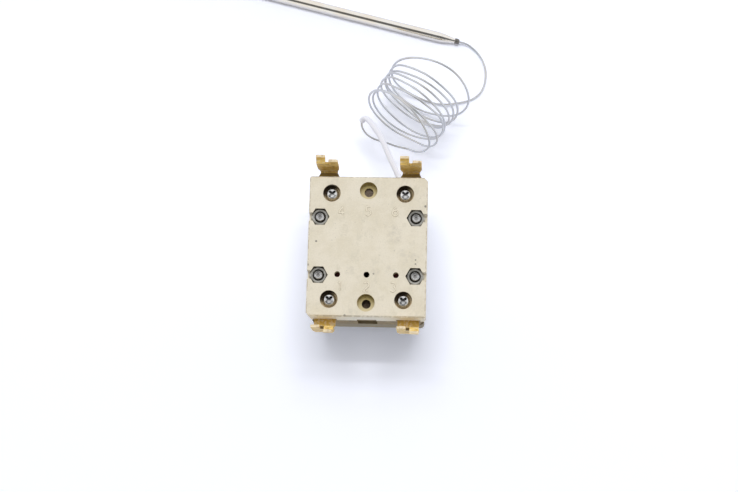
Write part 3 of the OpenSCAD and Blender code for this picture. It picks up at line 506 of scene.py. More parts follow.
def zinc_plate(name, colour, dirt=None):
    """Dull zinc plate: clouded, with fine scratches and darker stains. Dirt is a mask's low and high
    distance from the stud axes, where painted shade darkens the nut's countersink next to the stud."""
    f = Finish(name, colour, 0.42, 1.0)
    f.paint(f.mix(f.step(f.noise(0.6, 4, 0.6), 0.35, 0.68), times(colour, 0.74), times(colour, 1.16)))
    f.lay(f.step(f.noise(1.7, 3, 0.6), 0.58, 0.72, 0, 0.5), tinted(colour, 0.6, 0.52, 0.42))
    scratches = f.noise(2.5, 2, 0.7, (0.25, 2.2, 1))
    rough = f.step(scratches, 0.3, 0.7, 0.3, 0.5)
    if dirt:
        # Painted shade: the countersink between nut and stud is darkened nearly to black.
        grime = f.band(f.from_axis(STUD_X, STUD_Y), *dirt, 0.12)
        f.lay(grime, (0.05, 0.045, 0.04), 0.9)
        rough = f.calculate("ADD", rough, f.product(grime, 0.3))
    f.rough(rough)
    f.bump(scratches, 0.008)
    return f.material


def nickel_plate(name, colour, dirt=0.0):
    """Bright nickel plate with a faint haze, and dirt where dirt is over 0."""
    f = Finish(name, colour, 0.2, 1.0)
    haze = f.noise(1.3, 3, 0.6)
    f.paint(f.mix(f.step(haze, 0.4, 0.7), times(colour, 1.05), times(colour, 0.82)))
    if dirt > 0:
        f.lay(f.step(f.noise(2.4, 3, 0.6), 0.5, 0.7, 0, dirt), times(colour, 0.25))
    f.roughen(haze, 0.16, 0.3)
    f.bump(f.noise(6, 2, 0.5), 0.003)
    return f


def screw_nickel(colour):
    """The terminal screws' nickel, with painted shade that blackens the cross recess on its +Y half and
    darkens the head's side low down. A point is in the recess where it is close to the screw's axis and
    below the crown."""
    f = nickel_plate("screw_nickel", colour, 0.15)
    reach = f.from_axis(SCREW_X, SCREW_Y)
    # Painted shade low on the head's side, where it meets the counterbore floor.
    side = f.product(f.step(reach, 2.3, 2.45), f.below(POCKET_FLOOR + 0.6, POCKET_FLOOR + 1.9))
    f.lay(side, (0.16, 0.13, 0.09), 0.75)
    # Painted shade: the cross recess is painted nearly black, faintly on its -Y half.
    recess = f.product(f.step(reach, 1.5, 1.7, 1, 0), f.below(POCKET_FLOOR + 1.9, POCKET_FLOOR + 2.5),
                       f.step(f.local("Y", SCREW_Y), -0.35, 0.25, 0.12, 1))
    f.lay(recess, (0.03, 0.028, 0.026), 0.92)
    return f.material


def stud_nickel(colour):
    """The studs' plating, with painted shade darkening the cup in the cut end."""
    f = nickel_plate("stud_nickel", colour, 0.5)
    # Painted shade in the cup of the stud's cut end.
    f.lay(f.within(STUD_X, STUD_Y, 0.75, 1.0), (0.14, 0.13, 0.12), 0.6)
    return f.material


def terminal_brass(colour):
    """Stamped brass, half tarnished and painted paler higher up, with painted highlights on the tips and
    round the bend, painted glints where it is dented, stains above the bend, and painted shade on the
    strip by the body, deeper on its upper side, and at the fork's root."""
    f = Finish("terminal_brass", colour, 0.4, 0.5)
    tarnish = f.noise(0.8, 4, 0.65)
    height = f.calculate("ADD", f.axis("Z"), f.step(tarnish, 0.3, 0.7, -1.5, 1.5))
    # Painted light makes the brass paler higher up; the tarnish noise moves the edge.
    f.paint(f.mix(f.step(height, 32, 38.5), colour, tinted(colour, 1.08, 1.18, 1.7)))
    # Painted light: a little brighter above the web's top.
    f.lay(f.step(f.axis("Z"), 36.9, 37.1, 0, 0.6), times(colour, 1.1))
    # Painted highlight on the tips' top faces.
    f.lay(f.above(40.3, 40.8), BRASS_HIGHLIGHT)
    # Painted highlight round the bend's outer curve.
    f.lay(f.band(height, 24.8, 26.6, 0.8), BRASS_HIGHLIGHT, 0.7)
    raised = f.above(25, 27)
    dents_and_glints = f.noise(0.9, 3, 0.6, (0.5, 1, 1.4))
    # Painted glints where the dents' noise is high; the same noise bumps the brass.
    f.lay(f.product(f.step(dents_and_glints, 0.52, 0.70, 0, 0.7), raised), times(BRASS_HIGHLIGHT, 1.1))
    stains = f.step(f.noise(0.6, 3, 0.6), 0.48, 0.72, 0, 0.65)
    f.lay(f.product(stains, raised), tinted(colour, 0.40, 0.31, 0.36))
    # Painted shade on the strip by the body, deeper on the upper side and next to the cover.
    strip = f.product(f.below(24.1, 24.6), f.by_side(0.25, 0.95),
                      f.step(f.local("Y", 31.2), 0, 0.5, 1, 0.35))
    f.lay(strip, tinted(colour, 0.22, 0.22, 0.28))
    # Painted shade down in the fork's root, deeper on the lower forks.
    root = f.product(f.band(f.local("X", TERMINAL_X), -0.72, 0.72, 0.05),
                     f.band(f.axis("Z"), 35.5, 37.2, 0.1), f.by_side(0.9, 0.3))
    f.lay(root, (0.10, 0.06, 0.02))
    f.roughen(tarnish, 0.3, 0.5)
    f.bump(f.noise(1.5, 3, 0.6, (3, 3, 0.4)), 0.012)
    f.bump(dents_and_glints, 0.3)
    return f.material


def turned_brass(colour):
    """Turned brass with fine rings round the shaft's axis."""
    f = Finish("turned_brass", colour, 0.28, 1.0)
    rings = f.noise(2.5, 2, 0.5, (0.05, 0.05, 6))
    f.paint(f.mix(f.step(rings, 0.35, 0.65), times(colour, 0.85), times(colour, 1.15)))
    f.roughen(rings, 0.22, 0.36)
    return f.material


def soiled_zinc(colour):
    """The pan's zinc plate, stained brown along its sides and paler on the face that meets the panel."""
    f = Finish("pan_zinc", colour, 0.5, 0.45)
    stains = f.noise(0.22, 5, 0.6)
    sides = f.mix(f.step(stains, 0.35, 0.65), (0.245, 0.20, 0.12), (0.31, 0.26, 0.165))
    f.paint(f.mix(f.above(0.3, 1.6), times(colour, 1.2), sides))
    f.roughen(stains, 0.5, 0.65)
    f.bump(f.noise(2.5, 3, 0.6), 0.01)
    return f.material


def red_lacquer():
    """Dark red sealing lacquer, dull and uneven."""
    f = Finish("red_lacquer", (0.05, 0.005, 0.004))
    thick = f.noise(1.2, 3, 0.5)
    f.paint(f.mix(f.step(thick, 0.35, 0.65), (0.06, 0.006, 0.005), (0.02, 0.003, 0.003)))
    f.gloss(0.25)
    f.bump(thick, 0.05)
    return f.material


def drawn_steel(name, colour, along, satin=0.34, drawn=1.0):
    """Drawn steel tube: satin, with slight heat tint and long faint lines, as strong as drawn says."""
    f = Finish(name, colour, satin, 1.0)
    lines = f.noise(1.0, 3, 0.6, (26, 0.35 * along, 1), on=f.uv)
    dark, light = times(colour, 1 - 0.14 * drawn), times(colour, 1 + 0.12 * drawn)
    f.paint(f.mix(f.step(lines, 0.35, 0.65), dark, light))
    f.lay(f.step(f.noise(0.12, 3, 0.5), 0.45, 0.7, 0, 0.5), tinted(colour, 0.98, 0.9, 0.8))
    f.roughen(lines, satin * 0.8, satin * 1.25)
    if drawn > 0.5:
        f.bump(lines, 0.008)
    return f.material


def woven_glass(colour, rows):
    """Braided glass sleeve: two sets of strands cross each other, eight to each way round the tube."""
    f = Finish("woven_glass", colour)
    f.gloss(1.0)
    f.shader.inputs["Coat Weight"].default_value = 0.6
    f.shader.inputs["Coat Roughness"].default_value = 0.35
    turn = 2 * math.pi
    round_tube = f.part("X", f.uv)
    along_tube = f.product(f.part("Y", f.uv), rows, turn)
    strands = [f.calculate("SINE", f.calculate("ADD", f.product(round_tube, 8 * way * turn), along_tube))
               for way in (1, -1)]
    weave = f.calculate("MAXIMUM", *strands)
    f.paint(f.mix(f.step(weave, -0.2, 1), times(colour, 0.95), times(colour, 1.04)))
    f.bump(weave, 0.03)
    return f.material


def spring_steel():
    """Tempered spring steel with a straw and blue heat tint."""
    f = Finish("spring_steel", (0.42, 0.42, 0.43), 0.3, 1.0)
    f.paint(f.mix(f.step(f.noise(0.25, 3, 0.5), 0.35, 0.65), (0.46, 0.42, 0.34), (0.34, 0.38, 0.46)))
    f.roughen(f.noise(2, 2, 0.6, (0.3, 3, 1)), 0.24, 0.4)
    return f.material


def contact_silver():
    """Silver contact metal, greyed where it has switched."""
    f = Finish("contact_silver", (0.75, 0.74, 0.72), 0.28, 1.0)
    spot = f.noise(1.4, 3, 0.6)
    f.paint(f.mix(f.step(spot, 0.4, 0.65), (0.78, 0.77, 0.75), (0.42, 0.40, 0.37)))
    f.roughen(spot, 0.22, 0.45)
    return f.material


def dress(obj, material):
    """Puts one material on a whole piece."""
    if obj.material_slots:
        for slot in obj.material_slots:
            slot.material = material
    else:
        obj.data.materials.append(material)


def place_piece(obj, body, slot, *nodes):
    """Makes the piece ride on a body and stand for some CAD nodes, which it hides. The slot is not used."""
    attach(obj, body)
    if nodes:
        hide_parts(*nodes)


def new_object(name, mesh, material):
    """Links a mesh into the scene as an object with one material."""
    obj = bpy.data.objects.new(name, mesh)
    bpy.context.scene.collection.objects.link(obj)
    dress(obj, material)
    return obj


def grid_piece(name, points, material, around=True, sharp=35):
    """A mesh through a grid of points in millimetres. Its axes are copies, rows and columns. Each quad
    joins two neighbouring rows and columns, and the last column joins the first where the grid goes
    around. Points that coincide, as at a pole, are merged. The texture's u runs along the columns and v
    along the rows, from 0 to 1. Edges sharper than this many degrees stay sharp."""
    points = np.asarray(points, float)
    if points.ndim == 3:
        points = points[None]
    copies, rows, cols = points.shape[:3]
    spans = cols if around else cols - 1
    c, i, j = np.meshgrid(np.arange(copies), np.arange(rows - 1), np.arange(spans), indexing="ij")
    corner_i = np.stack([i, i, i + 1, i + 1], axis=-1)
    corner_j = np.stack([j, j + 1, j + 1, j], axis=-1)
    index = (c[..., None] * rows + corner_i) * cols + corner_j % cols
    mesh = bpy.data.meshes.new(name)
    mesh.from_pydata((points.reshape(-1, 3) * MM).tolist(), [], index.reshape(-1, 4).tolist())
    layer = mesh.uv_layers.new(name="surface")
    uv = np.stack([corner_j / spans, corner_i / (rows - 1)], axis=-1)
    layer.data.foreach_set("uv", uv.reshape(-1).astype(np.float32))
    b = bmesh.new()
    b.from_mesh(mesh)
    bmesh.ops.remove_doubles(b, verts=b.verts, dist=1e-7)
    b.to_mesh(mesh)
    b.free()
    mesh.shade_smooth()
    mesh.set_sharp_from_angle(angle=math.radians(sharp))
    return new_object(name, mesh, material)


def softened_copy(name, node, material, edge):
    """A copy of a CAD node's mesh with its triangles merged into faces and its edges rounded."""
    b = bmesh.new()
    b.from_mesh(frame["nodes"][node].data)
    bmesh.ops.remove_doubles(b, verts=b.verts, dist=2e-6)
    bmesh.ops.dissolve_limit(b, angle_limit=math.radians(0.5), verts=b.verts, edges=b.edges)
    mesh = bpy.data.meshes.new(name)
    b.to_mesh(mesh)
    b.free()
    if "custom_normal" in mesh.attributes:
        mesh.attributes.remove(mesh.attributes["custom_normal"])
    mesh.materials.clear()
    mesh.shade_smooth()
    obj = new_object(name, mesh, material)
    bevel = obj.modifiers.new("round edges", "BEVEL")
    bevel.width = edge
    bevel.segments = 2
    bevel.limit_method = "ANGLE"
    bevel.angle_limit = math.radians(32)
    bevel.harden_normals = True
    bevel.use_clamp_overlap = True
    return obj


def smooth_curve(route, steps):
    """The smooth curve through the route's points. Between points b and c, with neighbours a and d, it is
    half of 2b + (c - a)u + (2a - 5b + 4c - d)u squared + (3b - a - 3c + d)u cubed, where u runs from 0 to
    1."""
    p = np.asarray(route, float)
    padded = np.vstack([p[:1], p, p[-1:]])
    a, b, c, d = (padded[k:k + len(p) - 1, None] for k in range(4))
    u = (np.arange(steps) / steps)[None, :, None]
    square, cube = (2 * a - 5 * b + 4 * c - d) * u ** 2, (3 * b - a - 3 * c + d) * u ** 3
    curve = 0.5 * (2 * b + (c - a) * u + square + cube)
    return np.vstack([curve.reshape(-1, 3), p[-1:]])


def even_path(points, spacing):
    """The same path with its points an even distance apart along it."""
    points = np.asarray(points, float)
    along = np.concatenate([[0], np.cumsum(np.linalg.norm(np.diff(points, axis=0), axis=1))])
    places = np.linspace(0, along[-1], int(round(along[-1] / spacing)) + 1)
    return np.stack([np.interp(places, along, points[:, k]) for k in range(3)], axis=1)


def between(ends, share):
    """The value at a share of the way from the first end to the second."""
    return ends[0] + (ends[1] - ends[0]) * share


def coil_curve(plan, per_turn):
    """The stored coil. At t turns, its point is the middle line's point plus the radius times the cosine
    of the turn's angle along one side vector, less the radius times its sine along the other. The middle
    line's advance, the axis's heading and dip and the radius all run evenly from the first turn to the
    last, and the advance bows a little. The first side vector is the part of straight up that is square
    to the axis, and the second is the axis's cross product with it. The hand bends are then added along
    a smooth curve through them, spread evenly over the coil."""
    turns = plan.turns
    t = np.linspace(0, turns, turns * per_turn + 1)
    s = t / turns
    heading = np.radians(between(COIL_HEADING, s))
    dip = np.radians(between(COIL_DIP, s))
    radius = between((plan.first_turn, plan.last_turn), s) / MM
    axis = np.stack([np.cos(dip) * np.cos(heading), np.cos(dip) * np.sin(heading), np.sin(dip)], axis=1)
    up = np.array([0, 0, 1.0]) - axis * axis[:, 2:]
    up /= np.linalg.norm(up, axis=1, keepdims=True)
    side = np.cross(axis, up)
    advance = (s - 0.5) - COIL_BOW * s * (1 - s)
    middle = np.array(COIL_MIDDLE) + advance[:, None] * np.array(COIL_ADVANCE)
    angle = 2 * np.pi * (t + COIL_START)
    even = middle + radius[:, None] * (np.cos(angle)[:, None] * up - np.sin(angle)[:, None] * side)
    bends = smooth_curve(np.pad(COIL_BENDS, ((0, 0), (0, 1))), 12)
    places = np.linspace(0, 1, len(bends))
    return even + np.stack([np.interp(s, places, bends[:, k]) for k in range(3)], axis=1)


def ring_frames(path, lean):
    """Two directions square to the path at each of its points: its cross product with a fixed leaning
    direction, and the cross product of that with the path."""
    heading = np.gradient(path, axis=0)
    heading /= np.linalg.norm(heading, axis=1, keepdims=True)
    side = np.cross(heading, np.asarray(lean, float))
    side /= np.linalg.norm(side, axis=1, keepdims=True)
    return side, np.cross(side, heading)


def tube_points(path, radius, sides, lean, ends=True):
    """A round tube along a path: each ring is the path's point plus the radius times the cosine of the
    ring's angle along one side direction and its sine along the other. Closed ends add a ring of no
    radius."""
    radius = np.broadcast_to(np.asarray(radius, float), (len(path),))
    side, up = ring_frames(path, lean)
    if ends:
        path = np.vstack([path[:1], path, path[-1:]])
        side, up = np.vstack([side[:1], side, side[-1:]]), np.vstack([up[:1], up, up[-1:]])
        radius = np.concatenate([[0], radius, [0]])
    angle = np.linspace(0, 2 * np.pi, sides, endpoint=False)[None, :, None]
    ring = np.cos(angle) * side[:, None] + np.sin(angle) * up[:, None]
    return path[:, None] + radius[:, None, None] * ring


def turned_points(profile, sides, start=(0, 0, 0), axis=(0, 0, 1)):
    """A turned shape: each point of the profile, given as distance along the axis and radius, is carried
    round the axis. Its place is the start, plus the distance along the axis, plus the radius times the
    cosine and the sine of the angle along two directions square to the axis."""
    along, radius = np.asarray(profile, float).T
    axis = np.asarray(axis, float) / np.linalg.norm(axis)
    lean = np.array([0, 0, 1.0]) if abs(axis[2]) < 0.9 else np.array([1.0, 0, 0])
    side = np.cross(lean, axis)
    side /= np.linalg.norm(side)
    up = np.cross(axis, side)
    angle = np.linspace(0, 2 * np.pi, sides, endpoint=False)[None, :, None]
    ring = np.cos(angle) * side + np.sin(angle) * up
    return np.asarray(start, float) + along[:, None, None] * axis + radius[:, None, None] * ring


class THERMOSTAT_OT_stage(Operator):
    """Lays the pale floor, hangs two strip lights and a panel and the soft sky, and places the camera"""

    bl_idname = "thermostat.build_stage"
    bl_label = "Stage"

    def execute(self, context):
        plan = context.scene.thermostat_stage
        self.lay_floor(plan)
        self.hang_light(context, "strip_near", 10.9, 0.05, plan.near_strip)
        self.hang_light(context, "panel", 8.0, 0.92, plan.panel)
        self.hang_light(context, "strip_far", 21.7, 0.05, plan.far_strip)
        self.fill_sky(context, plan)
        self.set_camera(context, plan.lens)
        return {"FINISHED"}

    def lay_floor(self, plan):
        """A wide flat floor. The camera sees it brighter than it lights the part, and reflections see it
        a little brighter."""
        floor = Finish("pale_floor", plan.floor_colour, 0.9)
        floor.gloss(0.0)
        rays = floor.node("LightPath").outputs
        mirrored = floor.product(rays["Is Glossy Ray"], 0.3)
        shown = floor.calculate("MAXIMUM", rays["Is Camera Ray"], mirrored)
        seen = times(plan.floor_colour, plan.floor_seen, 2.0)
        floor.paint(floor.mix(shown, plan.floor_colour, seen))
        level, half_width = -plan.floor_drop / MM, 3000.0
        ends = (-half_width, half_width)
        corners = np.array([[[x, y, level] for x in ends] for y in ends])
        grid_piece("floor", corners, floor.material, around=False)

    def hang_light(self, context, name, tilt, depth, power):
        """A long area light, tilted this many degrees back from overhead and turned to the body."""
        across, reach, aside = 0.95, 2.0, 0.06
        light = bpy.data.lights.new(name, "AREA")
        light.shape = "RECTANGLE"
        light.size = across
        light.size_y = depth
        light.energy = power
        lamp = bpy.data.objects.new(name, light)
        context.scene.collection.objects.link(lamp)
        turn = math.radians(tilt)
        lamp.location = (aside, reach * math.sin(turn), reach * math.cos(turn))
        lamp.rotation_euler = (-turn, 0, 0)
        lamp.visible_glossy = False

    def fill_sky(self, context, plan):
        """Soft light from all round. Camera and transmitted rays see plain white, and reflections see the
        same white apart from a dark flag, which lies where the ray's direction is close to the flag's."""
        world = bpy.data.worlds.new("soft_sky")
        world.use_nodes = True
        bench = NodeBench(world.node_tree)
        sky = world.node_tree.nodes["Background"]
        sky.inputs["Color"].default_value = (1, 1, 1, 1)
        rays = bench.node("LightPath").outputs
        way = bench.node("TexCoord").outputs["Generated"]
        near = bench.step(bench.compare("DOT_PRODUCT", way, FLAG_WAY), 0.80, 0.94)
        aside = bench.calculate("ABSOLUTE", bench.compare("DOT_PRODUCT", way, FLAG_NARROW))
        flagged = bench.product(near, bench.step(aside, 0.42, 0.55, 1, 0))
        soft = bench.step(bench.part("Y", way), -0.3, 0.4, plan.sky_front, plan.sky_back)
        walls = bench.step(bench.part("Z", way), 0.15, 0.3, plan.walls, 0)
        level = bench.calculate("ADD", soft, walls)
        level = bench.blend(rays["Is Glossy Ray"], level, bench.step(flagged, 0, 1, 1, plan.flag))
        level = bench.blend(rays["Is Transmission Ray"], level, 1)
        level = bench.blend(rays["Is Camera Ray"], level, 1)
        bench.link(level, sky.inputs["Strength"])
        context.scene.world = world

    def set_camera(self, context, lens):
        """The camera stands where the photograph was taken, above and a little in front."""
        data = bpy.data.cameras.new("camera")
        data.lens = lens
        data.sensor_width = 36
        data.sensor_fit = "HORIZONTAL"
        data.clip_start = 0.01
        camera = bpy.data.objects.new("camera", data)
        context.scene.collection.objects.link(camera)
        back = np.array(CAMERA_BACK)
        back /= np.linalg.norm(back)
        right = np.array(CAMERA_RIGHT)
        right -= back * right.dot(back)
        right /= np.linalg.norm(right)
        pose = np.eye(4)
        pose[:3, :3] = np.column_stack([right, np.cross(back, right), back])
        pose[:3, 3] = np.array(CAMERA_PLACE) * MM
        camera.matrix_world = Matrix(pose.tolist())
        context.scene.camera = camera
        context.scene.view_settings.view_transform = "Standard"


class THERMOSTAT_OT_capillary(Operator):
    """Draws the steel capillary with its stored coil, its woven sleeve, and the sensing bulb on its end"""

    bl_idname = "thermostat.build_capillary"
    bl_label = "Capillary and bulb"

    def execute(self, context):
        plan = context.scene.thermostat_capillary
        bulb_plan = context.scene.thermostat_bulb
        wire = plan.wire / MM
        spacing = 1.3
        coil = coil_curve(plan, 24)
        route = np.vstack([SLEEVE_ROUTE, LEAD_ROUTE, coil, TAIL_ROUTE])
        path = even_path(smooth_curve(route, 6), spacing)
        length = np.linalg.norm(np.diff(path, axis=0), axis=1).sum()
        along_coil = math.radians(62)
        lean = (math.cos(along_coil), math.sin(along_coil), -0.4)
        steel = drawn_steel("capillary_steel", plan.steel, length)
        tube = grid_piece("capillary_tube", tube_points(path, wire, 12, lean), steel, sharp=50)
        sleeve = self.slip_sleeve(plan, wire)
        bulb, collar = self.turn_bulb(bulb_plan)
        place_piece(tube, "base", "stainless_steel", "capillary_lead", "capillary_coil", "capillary_tail")
        place_piece(sleeve, "base", "white_sleeve", "capillary_sleeve")
        place_piece(bulb, "base", "dull_steel", "bulb")
        place_piece(collar, "base", "stainless_steel", "bulb_collar")
        inner = frame["nodes"]["capillary_inner"]
        dress(inner, nickel_plate("inner_capillary_steel", plan.steel).material)
        return {"FINISHED"}

    def slip_sleeve(self, plan, wire):
        """The sleeve's radius runs evenly, apart from a slight swell and pinch along it, and closes on
        the wire at both ends along a quarter circle."""
        spacing, closing = 0.4, 0.8
        path = even_path(smooth_curve(SLEEVE_ROUTE, 12), spacing)
        length = spacing * (len(path) - 1)
        s = np.linspace(0, 1, len(path))
        radius = plan.sleeve / MM * (1 + 0.03 * np.sin(40 * s) * np.sin(13 * s + 1))
        end = np.clip(np.minimum(s, 1 - s) * length / closing, 0, 1)
        mouth = wire + 0.08
        radius = mouth + (radius - mouth) * np.sqrt(1 - (1 - end) ** 2)
        points = tube_points(path, radius, 20, (0, 0, 1), ends=False)
        return grid_piece("capillary_sleeve_braid", points, woven_glass(plan.glass, 46), sharp=60)

    def turn_bulb(self, plan):
        """The bulb is a turned shape: a swaged cone with fine rings, a long straight tube and a rounded
        end. The collar before it is a short turned piece that the capillary enters."""
        heading = (math.cos(BULB_HEADING), math.sin(BULB_HEADING), 0)
        r, length = plan.radius / MM, plan.length / MM
        steel = drawn_steel("bulb_steel", plan.steel, length, 0.12, 0.15)
        start, neck, cone_long = 2.0, 1.05, 8
        cone = np.linspace(0, 1, 24)
        cone_r = neck + (r - neck) * np.sin(cone * math.pi / 2) ** 1.2 + 0.02 * np.sin(cone * 40)
        turn = np.linspace(0, math.pi / 2, 9)
        profile = np.vstack([
            [[start, 0.0]], np.stack([start + cone_long * cone, np.minimum(cone_r, r)], axis=1),
            np.stack([np.linspace(start + cone_long + 1, length - r - 1, 60), np.full(60, r)], axis=1),
            np.stack([length - r + r * np.sin(turn), r * np.cos(turn)], axis=1),
        ])
        bulb = grid_piece("sensing_bulb", turned_points(profile, 48, BULB_START, heading), steel, sharp=40)
        collar_profile = [(0, 0), (0, 0.7), (0.15, 0.95), (0.4, 1.1), (0.9, 1.22), (1.7, 1.22), (1.85, 1.2),
                          (2.0, 1.1), (2.05, 0.6), (2.05, 0)]
        collar_steel = drawn_steel("collar_steel", times(plan.steel, 0.25), 3)
        collar = grid_piece("bulb_collar_ring", turned_points(collar_profile, 40, BULB_START, heading),
                            collar_steel, sharp=30)
        return bulb, collar


class THERMOSTAT_OT_ceramic(Operator):
    """Builds the ceramic cover and the switch housing with rounded moulded edges"""

    bl_idname = "thermostat.build_ceramic"
    bl_label = "Ceramic body"

    def execute(self, context):
        plan = context.scene.thermostat_ceramic
        cream = cover_ceramic(plan.cover)
        cover = softened_copy("rear_cover_moulding", "rear_cover", cream, plan.edge)
        place_piece(cover, "base", "steatite_cream", "rear_cover")
        brown = housing_ceramic(plan.housing)
        housing = softened_copy("switch_housing_moulding", "switch_housing", brown, plan.edge)
        place_piece(housing, "base", "steatite_dark", "switch_housing")
        seat_profile = [(0, 0), (0, 1.2), (-0.12, 1.9), (-0.5, 1.95)]
        seats = [turned_points(seat_profile, 32, (0, side * MIDDLE_Y, level))
                 for side, level in ((1, 28.2), (-1, 25.4))]
        seat = grid_piece("empty_pole_seats", seats, seat_soil_and_shade(), sharp=60)
        place_piece(seat, "base", "steatite_dark")
        return {"FINISHED"}


def arc(x, y, radius, start, end, count=14):
    """Points on a part of a circle, by angles in degrees."""
    angle = np.radians(np.linspace(start, end, count))
    return np.stack([x + radius * np.cos(angle), y + radius * np.sin(angle)], axis=1)


def straight(*corners):
    """Points close together on straight lines between corners."""
    corners = np.asarray(corners, float)
    spans = [np.linspace(corners[k], corners[k + 1], 8, endpoint=False) for k in range(len(corners) - 1)]
    return np.vstack(spans + [corners[-1:]])


# The strokes of the plain figures, in a box one high, and the figures' places on the cover
FIGURES = {
    "1": [straight((0.12, 0.78), (0.36, 1.0), (0.36, 0.0))],
    "2": [np.vstack([arc(0.32, 0.70, 0.28, 165, -38), straight((0.50, 0.48), (0.02, 0.0), (0.62, 0.0))])],
    "3": [np.vstack([arc(0.30, 0.75, 0.25, 155, -75), arc(0.30, 0.26, 0.27, 78, -155)])],
    "4": [straight((0.46, 0.0), (0.46, 1.0), (0.0, 0.3), (0.64, 0.3))],
    "5": [np.vstack([straight((0.58, 1.0), (0.12, 1.0), (0.08, 0.56)), arc(0.29, 0.31, 0.30, 125, -150)])],
    "6": [np.vstack([arc(0.62, 0.36, 0.62, 105, 178, 10), arc(0.31, 0.30, 0.30, 180, 540, 24)])],
}
FIGURE_PLACES = {
    "1": (-10.3, -15.9), "2": (0.0, -15.9), "3": (10.4, -15.85),
    "4": (-10.4, 13.9), "5": (0.1, 14.0), "6": (10.7, 14.0),
}


class THERMOSTAT_OT_marks(Operator):
    """Raises plain figures on the cover, beside the calibration holes and the upper screws"""

    bl_idname = "thermostat.build_marks"
    bl_label = "Moulded figures"

    def execute(self, context):
        plan = context.scene.thermostat_marks
        ceramic = figure_ceramic(context.scene.thermostat_ceramic.cover)
        for figure, middle in FIGURE_PLACES.items():
            for stroke in FIGURES[figure]:
                mark = self.raise_stroke(plan, figure, np.asarray(middle), stroke, ceramic)
                place_piece(mark, "base", "steatite_cream")
        return {"FINISHED"}

    def raise_stroke(self, plan, figure, middle, stroke, ceramic):
        """A low rounded ridge along a stroke. Across the stroke its height is the relief times the square
        root of one less the square of the distance from the middle, and its width and height fall to
        nothing at the stroke's two ends. Its foot lies a little under the cover's face."""
        height, half, relief = plan.height / MM, plan.stroke / MM, plan.relief / MM
        spacing, sunk, box_middle = 0.12, 0.03, (0.32, 0.5)
        flat = (stroke - np.array(box_middle)) * height + middle
        path = even_path(np.column_stack([flat, np.full(len(flat), FACE)]), spacing)
        heading = np.gradient(path[:, :2], axis=0)
        heading /= np.linalg.norm(heading, axis=1, keepdims=True)
        across = np.column_stack([heading[:, 1], -heading[:, 0], np.zeros(len(path))])
        s = np.arange(len(path)) * spacing
        taper = np.sqrt(np.clip(1 - (1 - np.clip(np.minimum(s, s[-1] - s) / half, 0, 1)) ** 2, 0, 1))
        u = np.linspace(-1, 1, 9)
        rise = np.sqrt(1 - u ** 2) * relief - sunk
        points = path[:, None] + (u[None, :] * taper[:, None] * half)[..., None] * across[:, None]
        points[..., 2] += rise[None, :] * taper[:, None] - sunk * (1 - taper[:, None])
        return grid_piece("moulded_figure_" + figure, points, ceramic, around=False, sharp=80)


def made_material(name):
    """A material that an earlier operator has made."""
    material = bpy.data.materials.get(name)
    if material is None:
        raise RuntimeError("build the piece that has the material " + name + " first")
    return material


def round_grid(radius, level, angle):
    """Points round the upright axis: the radius times the angle's cosine and sine, and the level."""
    return np.stack([radius * np.cos(angle), radius * np.sin(angle), level], axis=-1)


def rings(profile, sides):
    """The radii and the levels of plain rings, one ring to each point of the profile."""
    return [np.repeat(column[:, None], sides, 1) for column in np.array(profile, float).T]


def thread_cut(level, angle, pitch, depth):
    """What a thread takes from the radius: the depth times a rounded triangle wave of the level divided
    by the pitch, less the turn."""
    wave = (level[:, None] / pitch - angle[None, :] / (2 * math.pi)) % 1
    return depth * (1 - np.abs(2 * wave - 1)) ** 0.8


